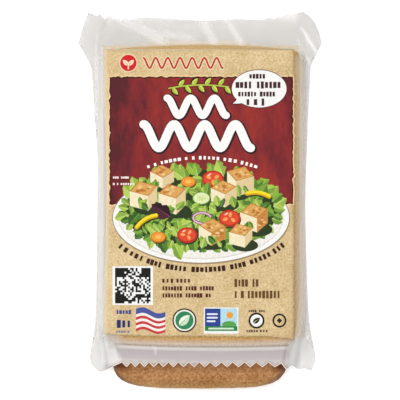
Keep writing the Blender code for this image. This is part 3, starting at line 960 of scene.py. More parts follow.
def fleck_tree():
    """Flecks of bark: tiny six-sided chips strewn over a surface, of uneven size."""
    inputs = [("Density", "Float"), ("Size", "Float"), ("Height", "Float"), ("Seed", "Int")]
    tree, given = new_tree("flecks", [*inputs, ("Bark", "Material")])
    strewn = add_node(
        tree,
        "GeometryNodeDistributePointsOnFaces",
        [("Mesh", given["Geometry"]), ("Density", given["Density"]), ("Seed", given["Seed"])],
    )
    chip = add_node(
        tree,
        "GeometryNodeMeshCylinder",
        [("Vertices", 6), ("Radius", given["Size"]), ("Depth", given["Height"])],
    )
    turn = add_node(
        tree,
        "FunctionNodeRandomValue",
        [("Max", (0.0, 0.0, math.tau)), ("Seed", given["Seed"])],
        data_type="FLOAT_VECTOR",
    )
    stretch = add_node(
        tree,
        "FunctionNodeRandomValue",
        [("Min", FLECK_SHAPES[0]), ("Max", FLECK_SHAPES[1]), ("Seed", given["Seed"])],
        data_type="FLOAT_VECTOR",
    )
    chips = add_node(
        tree,
        "GeometryNodeInstanceOnPoints",
        [
            ("Points", strewn.outputs["Points"]),
            ("Instance", chip.outputs["Mesh"]),
            ("Rotation", turn.outputs[0]),
            ("Scale", stretch.outputs[0]),
        ],
    )
    return end_tree(tree, chips.outputs["Instances"], given["Bark"])


def make_label():
    flat_points, triangles, _ = filled([paper_outline()], PAPER_GRID)
    points = [(x, y, paper_level(x, y)) for x, y in flat_points]
    label = mesh_object("paper_label", points, triangles, kraft_paper())
    label.data.shade_smooth()
    # painted highlight along the left edge, where the paper curls down
    left_edge_highlight = label.data.attributes.new("left_edge_highlight", "FLOAT", "POINT")
    for index, (x, y) in enumerate(flat_points):
        left_edge_highlight.data[index].value = smooth_step((paper_left(y) - x) / LEFT_EDGE_HIGHLIGHT_RUN + 1)
    thicken(label, PAPER, -1.0)
    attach(label, "root")
    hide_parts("label")

    area = (PAPER_RIGHT_X - PAPER_LEFT_X) * (PAPER_FAR_Y - PAPER_NEAR_Y)
    flecks = grown_mesh(
        "paper_flecks",
        points,
        [],
        triangles,
        fleck_tree(),
        {
            "Density": FLECK_COUNT / area,
            "Size": FLECK_SIZE,
            "Height": FLECK_HEIGHT,
            "Seed": FLECK_SEED,
            "Bark": ink("bark_flecks", "#8f6f3c", 0.8),
        },
    )
    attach(flecks, "root")


make_label()


# ---- The printed field -----------------------------------------------------------------------
# The upper half of the label is printed deep red, as if brushed on, with a torn dark edge and
# a thin cream rim. Every print is a skin that follows the paper, shaded in printing inks.
SKIN = 0.07 * MM
FIELD_LIFT, PICTURE_LIFT, SMALL_LIFT = 0.05 * MM, 0.07 * MM, 0.09 * MM
PRINT_GRID = 1.0  # millimetres, as all sizes of the printing
FIELD_LEFT, FIELD_RIGHT = -40.7, 41.85
FIELD_LOW, FIELD_HIGH = -1.9, 55.4
FIELD_RIM, FIELD_EDGE = 0.5, 0.55
FIELD_TEAR_STEP, FIELD_TEAR, RIM_TEAR, FIELD_SEED = 0.9, 0.7, 0.9, 5.0
RIM_CREAM, EDGE_DARK = "#dcb98a", "#33120f"
BRUSHED_TONES = [(0.04, "#4c1a20"), (0.55, "#752124"), (1.00, "#8c2b22")]
BRUSH_STREAK, BRUSH_SQUEEZE, BRUSH_CONTRAST = 6.7 * MM, 0.4, 2.1
DRY_SHIFT, LOADED_SHIFT = -0.40, -0.93  # of the tone, where the brush was dry or loaded
# where the brush was loaded: how much, and the spans in millimetres over which it comes
LEFT_LOADS = [(0.5, (-12.0, 20.0)), (0.5, (-31.0, 6.0))]
FAR_RIGHT_SPAN, FAR_RIGHT_RISE = (30.0, 12.0), (24.0, 20.0)
RIGHT_LOAD, RIGHT_LOAD_SPAN = 0.25, (32.0, 8.0)
PRINT_STRENGTHS = (0.70, 0.84)
PRINT_GRAIN = 1.1 * MM  # real halftone dots are 0.15 mm apart: drawn coarser, so that it shows
BRUSHED = "#ffffff00"  # no colour of its own: the brushed ink shows


def on_paper(mesh, lift):
    """Moves a flat mesh in millimetres onto the paper, with its place in metres."""
    for vertex in mesh.vertices:
        x, y = vertex.co.x * MM, vertex.co.y * MM
        vertex.co = (x, y, paper_level(x, y) + lift + vertex.co.z * MM)


def printed_skin(name, shapes, material, lift, grid=None):
    """Prints (outline, colour) shapes, each over those before it, as one thin skin. The
    outlines are in millimetres, and a shape with no colour leaves the paper bare."""
    outlines = [outline for outline, _ in shapes]
    flat_points, triangles, sources = filled(outlines, grid)
    kept = [(t, shapes[max(s)][1]) for t, s in zip(triangles, sources) if s and shapes[max(s)][1]]
    skin = mesh_object(name, [(x, y, 0.0) for x, y in flat_points], [t for t, _ in kept], material)
    colours = {colour: linear(colour) for _, colour in kept}
    shown = skin.data.color_attributes.new("ink", "FLOAT_COLOR", "CORNER")
    shown.data.foreach_set("color", [c for _, colour in kept for c in colours[colour] * 3])
    shape = bmesh.new()
    shape.from_mesh(skin.data)
    loose = [vertex for vertex in shape.verts if not vertex.link_faces]
    bmesh.ops.delete(shape, geom=loose, context="VERTS")
    shape.to_mesh(skin.data)
    shape.free()
    on_paper(skin.data, lift)
    thicken(skin, SKIN, -1.0)
    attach(skin, "root")
    return skin


def brushed_ink():
    """Deep red ink laid with a dry brush: blotched and streaked, brighter towards the middle.
    The rim round it is printed in the shapes' own colours."""
    made, tree, shader = new_material("brushed_red_ink", INK_ROUGHNESS, INK_GLOSS)
    place = add_node(tree, "ShaderNodeTexCoord").outputs["Object"]
    squeezed = add_node(
        tree, "ShaderNodeMapping", [("Vector", place), ("Scale", (1.0, BRUSH_SQUEEZE, 1.0))]
    )
    streaks = add_node(
        tree,
        "ShaderNodeTexNoise",
        [
            ("Vector", squeezed.outputs[0]),
            ("Scale", 1 / BRUSH_STREAK),
            ("Detail", 5.0),
            ("Roughness", 0.7),
        ],
    )
    loaded = add_node(tree, "ShaderNodeAttribute", attribute_name="loaded")
    base = add_node(
        tree,
        "ShaderNodeMapRange",
        [("Value", loaded.outputs["Fac"]), ("To Min", DRY_SHIFT), ("To Max", LOADED_SHIFT)],
    )
    tone = add_node(
        tree,
        "ShaderNodeMath",
        [(0, streaks.outputs["Fac"]), (1, BRUSH_CONTRAST), (2, base.outputs[0])],
        operation="MULTIPLY_ADD",
    )
    ramp = add_node(tree, "ShaderNodeValToRGB", [("Fac", tone.outputs[0])])
    set_tones(ramp, BRUSHED_TONES)
    own = add_node(tree, "ShaderNodeAttribute", attribute_name="ink")
    printed = add_node(
        tree,
        "ShaderNodeMix",
        [
            ("Factor", own.outputs["Alpha"]),
            (COLOUR_A, ramp.outputs["Color"]),
            (COLOUR_B, own.outputs["Color"]),
        ],
        data_type="RGBA",
    )
    set_inputs(tree, shader, [("Base Color", printed.outputs[MIXED_COLOUR])])
    return made


def printing_inks():
    """Four-colour offset print: each shape in its own colour, a little uneven from the paper."""
    made, tree, shader = new_material("printing_inks", INK_ROUGHNESS, INK_GLOSS)
    place = add_node(tree, "ShaderNodeTexCoord").outputs["Object"]
    colour = add_node(tree, "ShaderNodeAttribute", attribute_name="ink")
    grain = add_node(
        tree,
        "ShaderNodeTexNoise",
        [("Vector", place), ("Scale", 1 / PRINT_GRAIN), ("Detail", 3.0), ("Roughness", 0.6)],
    )
    strength = add_node(
        tree,
        "ShaderNodeMapRange",
        [
            ("Value", grain.outputs["Fac"]),
            ("From Min", 0.3),
            ("From Max", 0.7),
            ("To Min", PRINT_STRENGTHS[0]),
            ("To Max", PRINT_STRENGTHS[1]),
        ],
    )
    printed = add_node(
        tree,
        "ShaderNodeVectorMath",
        [(0, colour.outputs["Color"]), ("Scale", strength.outputs[0])],
        operation="SCALE",
    )
    set_inputs(tree, shader, [("Base Color", printed.outputs[0])])
    return made


def field_outline(spread, depth=FIELD_TEAR):
    """The field's torn outline in millimetres, counter-clockwise, moved outwards by spread."""
    low, high = FIELD_LOW, FIELD_HIGH
    corners = [(FIELD_LEFT, low), (FIELD_RIGHT, low), (FIELD_RIGHT, high), (FIELD_LEFT, high)]
    outline = []
    for number, (start, end) in enumerate(zip(corners, corners[1:] + corners[:1])):
        outline += torn(start, end, FIELD_TEAR_STEP, depth, FIELD_SEED + number)
    middle_x, middle_y = (FIELD_LEFT + FIELD_RIGHT) / 2, (low + high) / 2
    grow_x = 1 + spread / (FIELD_RIGHT - middle_x)
    grow_y = 1 + spread / (high - middle_y)
    return [
        (middle_x + (x - middle_x) * grow_x, middle_y + (y - middle_y) * grow_y) for x, y in outline
    ]


def load_brush(skin):
    """Where the brush was loaded, the red is darkest: down the left side and far right."""
    loaded = skin.data.attributes.new("loaded", "FLOAT", "POINT")
    for vertex in skin.data.vertices:
        x, y = vertex.co.x / MM, vertex.co.y / MM
        left = sum(load * fall(x, span) for load, span in LEFT_LOADS)
        far_right = rise(x, FAR_RIGHT_SPAN) * rise(y, FAR_RIGHT_RISE)
        right = RIGHT_LOAD * rise(x, RIGHT_LOAD_SPAN)
        loaded.data[vertex.index].value = max(left, far_right, right)


four_colour = printing_inks()
red_field = printed_skin(
    "red_field",
    [
        (field_outline(FIELD_RIM, RIM_TEAR), RIM_CREAM),
        (field_outline(0.0), EDGE_DARK),
        (field_outline(-FIELD_EDGE), BRUSHED),
    ],
    brushed_ink(),
    FIELD_LIFT,
    PRINT_GRID,
)
load_brush(red_field)


# ---- The picture of a salad ------------------------------------------------------------------
# A printed picture of a white oval plate with leaves, browned cubes and cut vegetables. It is
# drawn by rule: what lies at the back of the plate first, each thing from a seeded draw.
PLATE_X, PLATE_Y, PLATE_HALF_X, PLATE_HALF_Y = 0.45, -7.9, 39.6, 20.3
SALAD_X, SALAD_Y, SALAD_HALF_X, SALAD_HALF_Y = 0.5, -4.6, 36.4, 19.6
SALAD_SEED = 23
RIM_LEAVES, BED_LEAVES, TUCKED_LEAVES = 50, 150, 4  # round the edge, within, below each topping
# how far the parts of the salad reach across the plate, as shares of its half sizes
SHADE_REACH, RIM_REACH, BED_REACH, TUCKED_REACH = (0.95, 0.92), (0.9, 0.80), 0.86, 0.9
# lengths and widths of the leaves, and smallest and largest turns, in millimetres and radians
RIM_LENGTHS, NEAR_RIM_LENGTHS, RIM_WIDTH, RIM_RUFFLE = (4.6, 7.4), (3.8, 5.0), 0.68, 0.28
BED_LENGTHS, TUCKED_LENGTHS, LEAF_WIDTH, LEAF_RUFFLE = (4.5, 8.5), (3.2, 5.6), 0.6, 0.3
RIM_SHIFTS, RIM_TURNS, TUCKED_TURNS = (-0.08, 0.08), (-0.6, 0.6), (0.2, 2.9)
NEAR_RIM = -0.3  # the leaves are shorter where the sine of their place is less than this
TUCKED_ACROSS, TUCKED_BELOW = (-7.0, 7.0), (4.6, 7.0)
TOPPING_ROWS, ROW_REACH, ROW_COUNT = (0.70, 0.26, -0.2, -0.62), 0.86, 6.3
TOPPING_SHIFTS, TOPPING_SIZES = ((-1.6, 1.6), (-1.2, 1.2)), (0.88, 1.1)
LEAF_GREENS = [  # leaf, its shaded half, its rib
    ("#93b93d", "#73993a", "#c9dd8c"),
    ("#7aa53a", "#54802c", "#aecb6e"),
    ("#4f7d30", "#385f22", "#86ad58"),
    ("#b3cd5c", "#8fb146", "#dde9a4"),
    ("#a5c44c", "#7da03a", "#d6e598"),
]
LEAF_PURPLE = ("#4b2430", "#2f141d", "#8a5064")
LEAF_STEPS = 7  # points along each side of a leaf
LEAF_SWELL, LEAF_BLUNT = 0.85, 0.8  # how far towards its stem, and how bluntly, a leaf widens
RIB_HALF, RIB_REACH = 0.16, 0.85
SALAD_SHADE = "#2a3a1b"
SLANT = 0.55  # how much flatter a thing looks that lies on the plate
CUBE_BROWNED, CUBE_SPOTS = 0.3, 9  # how many cubes show a browned side, and spots on each face
CUBE_TONES = {"left": "#f3e5c1", "right": "#dfc998", "browned": "#c98a45", "rim": "#b9772f"}
CUBE_TOP, SPOT_TONES = "#dba459", ("#c07d38", "#e8bd7a", "#b56f2c", "#efcb90")
CUBE_TURNS, CUBE_DROPS, CUBE_RIM = (0.35, 1.2), (0.62, 0.8), 0.9
SPOT_PLACES, SPOT_SIZES = (0.15, 0.85), (0.06, 0.13)
STROKE_END_STEPS = 5
# round slices as ovals: shift across and up, half sizes as shares of the slice's own, colour
TOMATO = [
    (0.3, -0.6, 1.0, 0.8, SALAD_SHADE),
    (0.0, 0.0, 1.0, 0.78, "#b92e1c"),
    (0.0, 0.15, 0.84, 0.62, "#e0492c"),
]
CUCUMBER = [
    (0.3, -0.5, 1.0, 0.75, SALAD_SHADE),
    (0.0, 0.0, 1.0, 0.72, "#5f8f33"),
    (0.0, 0.1, 0.88, 0.62, "#e3ecb4"),
    (0.0, 0.1, 0.5, 0.33, "#cddc8c"),
]
CARROT = [
    (0.3, -0.5, 1.0, 0.75, SALAD_SHADE),
    (0.0, 0.0, 1.0, 0.72, "#d9761a"),
    (0.0, 0.15, 0.86, 0.58, "#ef9a33"),
    (0.0, 0.15, 0.4, 0.26, "#f6bb5e"),
]
TOMATO_LOBES, CUCUMBER_SEEDS = 3, 7
LOBE_TONE, GLINT_TONE, SEED_TONE = "#f2a35c", "#f7c9ae", "#f4f6d8"
# strips as strokes: shift across and up, width, colour
PEPPER = [(0.3, -0.6, 2.2, SALAD_SHADE), (0.0, 0.0, 2.0, "#d8a70e"), (0.0, 0.35, 1.2, "#f6dd27")]
ONION = [(0.0, 0.0, 1.3, "#7d3a5e"), (0.0, 0.0, 0.7, "#e2b6cf")]
# rings of the plate: shift across and up, how much wider and higher, colour
PLATE_RINGS = [
    (0.2, -0.7, 0.2, 0.0, "#a98f66"),
    (0.0, 0.0, 0.3, 0.3, "#857b6c"),
    (0.0, 0.0, 0.0, 0.0, "#f6f4ef"),
    (0.0, 0.0, -2.4, -1.6, "#dcd8cf"),
    (0.0, 0.2, -2.7, -1.9, "#efece5"),
]
TOPPINGS = [
    "cube", "tomato", "cube", "carrot", "cube", "pepper", "cube", "cucumber", "cube", "purple",
    "onion", "cube", "tomato", "pepper",
]


def oval(x, y, half_x, half_y, count=28, turn=0.0):
    angles = [math.tau * i / count for i in range(count)]
    return placed([(half_x * math.cos(a), half_y * math.sin(a)) for a in angles], x, y, turn)


def placed(points, x, y, turn=0.0):
    """Points turned about the origin, then moved to (x, y)."""
    c, s = math.cos(turn), math.sin(turn)
    return [(x + px * c - py * s, y + px * s + py * c) for px, py in points]


def stroke(points, width, colour):
    """A round-ended line as a run of short round-ended pieces."""
    shapes = []
    for (x0, y0), (x1, y1) in zip(points, points[1:]):
        turn = math.atan2(y1 - y0, x1 - x0)
        length = math.hypot(x1 - x0, y1 - y0)
        half = [math.pi * (i / STROKE_END_STEPS - 0.5) for i in range(STROKE_END_STEPS + 1)]
        right = [(length + width / 2 * math.cos(a), width / 2 * math.sin(a)) for a in half]
        left = [(-width / 2 * math.cos(a), -width / 2 * math.sin(a)) for a in half]
        shapes.append((placed(right + left, x0, y0, turn), colour))
    return shapes


def strokes(line, layers):
    """One line in strokes over each other: their shift across and up, width and colour."""
    shapes = []
    for across, up, width, colour in layers:
        shapes += stroke([(x + across, y + up) for x, y in line], width, colour)
    return shapes


def leaf(x, y, length, width, turn, tones, ruffle=0.0, draw=None):
    """A leaf that grows from (x, y) along turn: its blade, its shaded half and its rib."""
    sides = []
    for side in (1, -1):
        edge = []
        for step in range(1, LEAF_STEPS):
            t = step / LEAF_STEPS
            ruffled = 1 + (ruffle * draw.uniform(-1, 1) if draw else 0.0)
            out = side * width / 2 * math.sin(math.pi * t**LEAF_SWELL) ** LEAF_BLUNT * ruffled
            edge.append((length * t, out))
        sides.append(edge)
    half = [(0.0, 0.0), *sides[1], (length, 0.0)]
    full = [*half, *sides[0][::-1]]
    rib = [(0.0, -RIB_HALF), (length * RIB_REACH, 0.0), (0.0, RIB_HALF)]
    return [(placed(part, x, y, turn), tone) for part, tone in zip((full, half, rib), tones)]


def slice_ovals(x, y, size, ovals):
    return [
        (oval(x + across, y + up, size * half_x, size * half_y), colour)
        for across, up, half_x, half_y, colour in ovals
    ]


def tofu_cube(x, y, size, draw):
    """A cube seen from the front and above, with cream sides and one or two browned faces."""
    turn = draw.uniform(*CUBE_TURNS)
    ux, uy = size * math.cos(turn), size * SLANT * math.sin(turn)
    vx, vy = -size * math.sin(turn), size * SLANT * math.cos(turn)
    drop = size * draw.uniform(*CUBE_DROPS)
    top = [(x, y), (x + ux, y + uy), (x + ux + vx, y + uy + vy), (x + vx, y + vy)]
    right = [(x, y), (x, y - drop), (x + ux, y + uy - drop), (x + ux, y + uy)]
    left = [(x, y), (x + vx, y + vy), (x + vx, y + vy - drop), (x, y - drop)]
    shapes = [(oval(x + 0.2, y - drop * 0.8, size * 0.75, size * 0.36), SALAD_SHADE)]
    right_browned = draw.random() < CUBE_BROWNED
    shapes.append((left, CUBE_TONES["left"]))
    shapes.append((right, CUBE_TONES["browned" if right_browned else "right"]))
    shapes.append((top, CUBE_TONES["rim"]))
    middle_x, middle_y = x + (ux + vx) / 2, y + (uy + vy) / 2
    inner = [
        (middle_x + (px - middle_x) * CUBE_RIM, middle_y + (py - middle_y) * CUBE_RIM)
        for px, py in top
    ]
    shapes.append((inner, CUBE_TOP))
    browned = [(ux, uy, vx, vy)] + ([(ux, uy, 0.0, -drop)] if right_browned else [])
    for ax, ay, bx, by in browned:
        for _ in range(CUBE_SPOTS):
            a, b = draw.uniform(*SPOT_PLACES), draw.uniform(*SPOT_PLACES)
            spot = draw.choice(SPOT_TONES)
            spot_x, spot_y = x + ax * a + bx * b, y + ay * a + by * b
            half = size * draw.uniform(*SPOT_SIZES)
            shapes.append((oval(spot_x, spot_y, half, half * 0.6, count=8), spot))
    return shapes


def tomato_half(x, y, size, draw):
    shapes = slice_ovals(x, y, size, TOMATO)
    start = draw.uniform(0, math.tau)
    for lobe in range(TOMATO_LOBES):
        a = start + lobe * math.tau / TOMATO_LOBES
        lobe_x, lobe_y = x + size * 0.42 * math.cos(a), y + 0.15 + size * 0.3 * math.sin(a)
        shapes.append((oval(lobe_x, lobe_y, size * 0.24, size * 0.15, count=10, turn=a), LOBE_TONE))
    glint = oval(x - size * 0.3, y + size * 0.4, size * 0.2, size * 0.08, count=8, turn=0.5)
    return [*shapes, (glint, GLINT_TONE)]


def cucumber_slice(x, y, size, draw):
    shapes = slice_ovals(x, y, size, CUCUMBER)
    for seed in range(CUCUMBER_SEEDS):
        a = math.tau * seed / CUCUMBER_SEEDS + draw.uniform(-0.2, 0.2)
        seed_x, seed_y = x + size * 0.36 * math.cos(a), y + size * 0.24 * math.sin(a)
        shapes.append((oval(seed_x, seed_y, 0.36, 0.2, count=6, turn=a), SEED_TONE))
    return shapes


def carrot_coin(x, y, size, _):
    return slice_ovals(x, y, size, CARROT)


def pepper_strip(x, y, size, draw):
    turn = draw.uniform(-0.6, 0.6)
    bend = draw.choice((-1, 1)) * size * 0.25
    line = [(size * 1.2 * t, bend * (1 - t * t)) for t in (-1.0, -0.6, -0.2, 0.2, 0.6, 1.0)]
    return strokes(placed(line, x, y, turn), PEPPER)


def onion_ring(x, y, size, draw):
    turn = draw.uniform(-0.5, 0.5)
    angles = [math.pi * (0.1 + 1.4 * i / 9) for i in range(10)]
    line = placed([(size * math.cos(a), size * 0.6 * math.sin(a)) for a in angles], x, y, turn)
    return strokes(line, ONION)


def purple_leaf(x, y, size, draw):
    turn = draw.uniform(0, math.tau)
    return leaf(x, y, size * 1.9, size * 1.3, turn, LEAF_PURPLE, LEAF_RUFFLE, draw)


SALAD_MAKERS = {
    "cube": (tofu_cube, 8.4),
    "tomato": (tomato_half, 4.6),
    "carrot": (carrot_coin, 3.2),
    "pepper": (pepper_strip, 4.4),
    "cucumber": (cucumber_slice, 4.6),
    "onion": (onion_ring, 4.0),
    "purple": (purple_leaf, 5.4),
}


def salad_places(draw):
    """Places for the toppings, spread evenly over the mound: staggered rows, a little uneven."""
    places = []
    for row, share_y in enumerate(TOPPING_ROWS):
        reach = math.sqrt(1 - share_y**2) * ROW_REACH
        count = round(ROW_COUNT * reach)
        for i in range(count):
            share_x = -reach + 2 * reach * (i + 0.5) / count
            x = SALAD_X + SALAD_HALF_X * share_x + draw.uniform(*TOPPING_SHIFTS[0])
            y = SALAD_Y + SALAD_HALF_Y * share_y + draw.uniform(*TOPPING_SHIFTS[1]) + row % 2
            places.append((x, y))
    return sorted(places, key=lambda place: -place[1])


def green_leaf(x, y, length, width, turn, ruffle, draw):
    return leaf(x, y, length, length * width, turn, draw.choice(LEAF_GREENS), ruffle, draw)


def in_salad(angle, reach_x, reach_y):
    """A place in the salad, by its angle and its distance from the middle."""
    x = SALAD_X + SALAD_HALF_X * reach_x * math.cos(angle)
    return x, SALAD_Y + SALAD_HALF_Y * reach_y * math.sin(angle)


def salad_shapes():
    """The shade below, then leaves round the edge, leaves within, and toppings from the back."""
    draw = random.Random(SALAD_SEED)
    half_x, half_y = SALAD_HALF_X * SHADE_REACH[0], SALAD_HALF_Y * SHADE_REACH[1]
    shapes = [(oval(SALAD_X, SALAD_Y, half_x, half_y, count=48), SALAD_SHADE)]
    for number in range(RIM_LEAVES):
        angle = math.pi / 2 + math.tau * number / RIM_LEAVES
        angle += draw.uniform(*RIM_SHIFTS)
        turn = angle + draw.uniform(*RIM_TURNS)
        length = draw.uniform(*(RIM_LENGTHS if math.sin(angle) > NEAR_RIM else NEAR_RIM_LENGTHS))
        x, y = in_salad(angle, *RIM_REACH)
        shapes += green_leaf(x, y, length, RIM_WIDTH, turn, RIM_RUFFLE, draw)
    for _ in range(BED_LEAVES):
        angle, reach = draw.uniform(0, math.tau), math.sqrt(draw.random()) * BED_REACH
        x, y = in_salad(angle, reach, reach)
        length = draw.uniform(*BED_LENGTHS)
        turn = draw.uniform(0, math.tau)
        shapes += green_leaf(x, y, length, LEAF_WIDTH, turn, LEAF_RUFFLE, draw)
    for number, (x, y) in enumerate(salad_places(draw)):
        maker, size = SALAD_MAKERS[TOPPINGS[number % len(TOPPINGS)]]
        shapes += maker(x, y, size * draw.uniform(*TOPPING_SIZES), draw)
        for _ in range(TUCKED_LEAVES):
            leaf_x = x + draw.uniform(*TUCKED_ACROSS)
            leaf_y = y - draw.uniform(*TUCKED_BELOW)
            out_x, out_y = (leaf_x - SALAD_X) / SALAD_HALF_X, (leaf_y - SALAD_Y) / SALAD_HALF_Y
            if math.hypot(out_x, out_y) < TUCKED_REACH:
                length = draw.uniform(*TUCKED_LENGTHS)
                turn = draw.uniform(*TUCKED_TURNS)
                shapes += green_leaf(leaf_x, leaf_y, length, LEAF_WIDTH, turn, LEAF_RUFFLE, draw)
    return shapes


def plate_shapes():
    shapes = []
    for across, up, wider, higher, colour in PLATE_RINGS:
        half_x, half_y = PLATE_HALF_X + wider, PLATE_HALF_Y + higher
        shapes.append((oval(PLATE_X + across, PLATE_Y + up, half_x, half_y, count=72), colour))
    return shapes


printed_skin("plate_picture", plate_shapes() + salad_shapes(), four_colour, PICTURE_LIFT)


# ---- The waves, the sprigs and the bubble ----------------------------------------------------
# Plain ornaments printed on and above the red field: two bold white waves with dark outlines, a
# lime sprig, a red disc with a sprout and a fine red wave, and an oval speech bubble.
WHITE_WAVES = [  # left end, right end, middle height, swing, line width, number of waves
    (-14.8, 11.8, 41.9, 3.9, 3.3, 2.5),
    (-25.4, 22.8, 28.7, 5.3, 3.9, 3.5),
]
OUTLINE, OUTLINE_SHIFT = 1.3, (0.25, -0.3)  # of the dark line under a white one: extra width, shift
WAVE_WHITE, WAVE_DARK = "#fbf7f4", "#34131a"
RED_WAVE = (-25.4, 10.2, 61.6, 2.3, 0.8, 6.5)
HALO, HALO_CREAM, WAVE_RED = 0.45, "#ecd9b2", "#bf2722"
DISC_X, DISC_Y, DISC_HALF, DISC_RED = -32.2, 61.6, 3.7, "#d02227"
SPROUT_TURNS, SPROUT_CREAM = (0.75, 2.39), "#f1e2c2"
SPRIG_START, SPRIG_END, SPRIG_RISE = (-14.0, 50.2), (12.8, 50.8), 1.2
STEM_STEPS, SPRIG_LEAVES, SPRIG_LEAF_TURN = 12, 9, 0.9
SPRIG_DARK, STEM_LIME, LEAF_LIMES = "#33170f", "#b9c850", ("#cdd95e", "#b2c548", "#8fa833")
BUBBLE_X, BUBBLE_Y, BUBBLE_HALF_X, BUBBLE_HALF_Y = 26.6, 50.0, 12.3, 8.4
BUBBLE_TAIL = [(17.0, 46.8), (15.4, 44.3), (13.6, 43.0), (17.2, 43.0), (21.6, 43.6)]
WHITE_TAIL = [(17.5, 46.9), (16.0, 44.4), (14.7, 43.35), (17.3, 43.35), (22.0, 44.0)]
BUBBLE_LINE, BUBBLE_DARK, BUBBLE_WHITE = 0.3, "#402221", "#f7f5f2"


def wave(left, right, middle, swing, waves, steps_a_wave=24):
    count = round(waves * steps_a_wave)
    line = []
    for i in range(count + 1):
        t = i / count
        line.append((left + (right - left) * t, middle + swing * math.cos(math.tau * waves * t)))
    return line


def rings(x, y, half, steps, count):
    """Round marks one over the other: how much wider than half each one is, and its colour."""
    return [(oval(x, y, half + wider, half + wider, count), colour) for wider, colour in steps]


def ornament_shapes():
    shapes = []
    for left, right, middle, swing, width, waves in WHITE_WAVES:
        layers = [(*OUTLINE_SHIFT, width + OUTLINE, WAVE_DARK), (0.0, 0.0, width, WAVE_WHITE)]
        shapes += strokes(wave(left, right, middle, swing, waves), layers)
    left, right, middle, swing, width, waves = RED_WAVE
    layers = [(0.0, 0.0, width + 2 * HALO, HALO_CREAM), (0.0, 0.0, width, WAVE_RED)]
    shapes += strokes(wave(left, right, middle, swing, waves), layers)
    shapes += rings(DISC_X, DISC_Y, DISC_HALF, [(HALO, HALO_CREAM), (0.0, DISC_RED)], count=28)
    for turn in SPROUT_TURNS:
        tones = (SPROUT_CREAM, SPROUT_CREAM, DISC_RED)
        shapes += leaf(DISC_X, DISC_Y - 1.0, 3.4, 1.9, turn, tones)
    stalk = [(DISC_X, DISC_Y - 2.6), (DISC_X, DISC_Y - 0.8)]
    return shapes + stroke(stalk, 0.6, SPROUT_CREAM)


def along_sprig(share):
    (x0, y0), (x1, y1) = SPRIG_START, SPRIG_END
    return blend(x0, x1, share), blend(y0, y1, share) + SPRIG_RISE * 4 * share * (1 - share)


def sprig_shapes():
    """A stem with leaves in turn above and below it, in lime over a dark outline."""
    stem = [along_sprig(i / STEM_STEPS) for i in range(STEM_STEPS + 1)]
    dark, lime = stroke(stem, 1.2, SPRIG_DARK), stroke(stem, 0.6, STEM_LIME)
    for number in range(SPRIG_LEAVES):
        x, y = along_sprig((number + 0.5) / SPRIG_LEAVES)
        turn = SPRIG_LEAF_TURN if number % 2 else -SPRIG_LEAF_TURN
        dark += leaf(x - 0.3, y, 4.9, 3.0, turn, (SPRIG_DARK,) * 3)
        lime += leaf(x, y, 4.1, 1.9, turn, LEAF_LIMES)
    return dark + lime


def bubble_shapes():
    x, y, half_x, half_y = BUBBLE_X, BUBBLE_Y, BUBBLE_HALF_X, BUBBLE_HALF_Y
    return [
        (oval(x, y, half_x + BUBBLE_LINE, half_y + BUBBLE_LINE, count=48), BUBBLE_DARK),
        (BUBBLE_TAIL, BUBBLE_DARK),
        (oval(x, y, half_x, half_y, count=48), BUBBLE_WHITE),
        (WHITE_TAIL, BUBBLE_WHITE),
    ]


printed_skin("ornaments", ornament_shapes() + sprig_shapes(), four_colour, SMALL_LIFT)
printed_skin("bubble", bubble_shapes(), four_colour, SMALL_LIFT)


# ---- The small print -------------------------------------------------------------------------
# Lines of plain blocks, as large as letters and as uneven, in groups as long as words, stand
# for small print. They run along straight lines, an arc and the plate's rim.
SMALL_PRINT = [  # name, ink, pitch and height of the blocks, lines as left end, right end, height
    ("bubble_lines", "#3d2225", 1.35, 2.3, [(22.0, 29.4, 55.6), (17.0, 33.8, 47.6)]),
    ("bubble_bold", "#3d2225", 1.8, 3.3, [(15.9, 36.4, 51.7), (20.7, 30.8, 44.0)]),
    ("field_note", "#e4d5d1", 0.9, 1.0, [(-39.2, -32.0, 10.1), (-39.2, -29.7, 7.2)]),
    (
        "keeping_note",
        "#4e2418",
        1.3,
        2.1,
        [(-17.1, -4.4, -36.3), (-17.1, 6.3, -39.7), (-17.1, 5.0, -42.9)],
    ),
    ("weight_note", "#5e3f1d", 1.5, 3.7, [(15.3, 26.4, -37.3), (15.3, 36.0, -42.5)]),
    ("blue_note", "#33407c", 1.3, 1.9, [(-37.8, -30.9, -50.4)]),
    ("blue_bold", "#1b2a62", 1.9, 3.8, [(-37.6, -31.0, -55.7)]),
    ("blue_foot", "#5b6690", 0.9, 1.0, [(-37.8, -30.9, -59.2)]),
    ("ring_notes", "#2b231a", 0.9, 1.1, [(21.7, 29.2, -49.9), (20.7, 30.4, -58.9)]),
]
LETTER_SIZES = (0.52, 0.75, 1.0), (0.94, 1.0, 1.0)  # smallest and largest, as shares of a block
WORD_LETTERS = (3, 8)
WORD_END = 0.48  # a word's path stops a little short, so that no block is set at its end
BLOCK_LIFT = SMALL_LIFT + 0.01 * MM
ARC_LINE = ("arc_line", "#f0e4de", 1.6, 1.6)
ARC_X, ARC_Y, ARC_RADIUS = 0.9, -55.4, 74.4
ARC_FROM, ARC_TO = math.radians(109.5), math.radians(70.5)
RIM_LINE = ("rim_line", "#351a0f", 1.75, 2.6)
RIM_TEXT_HALF_X, RIM_TEXT_HALF_Y = 43.2, 23.4
RIM_FROM, RIM_TO = math.radians(212), math.radians(329)
ARC_SEED, RIM_SEED = 31, 32


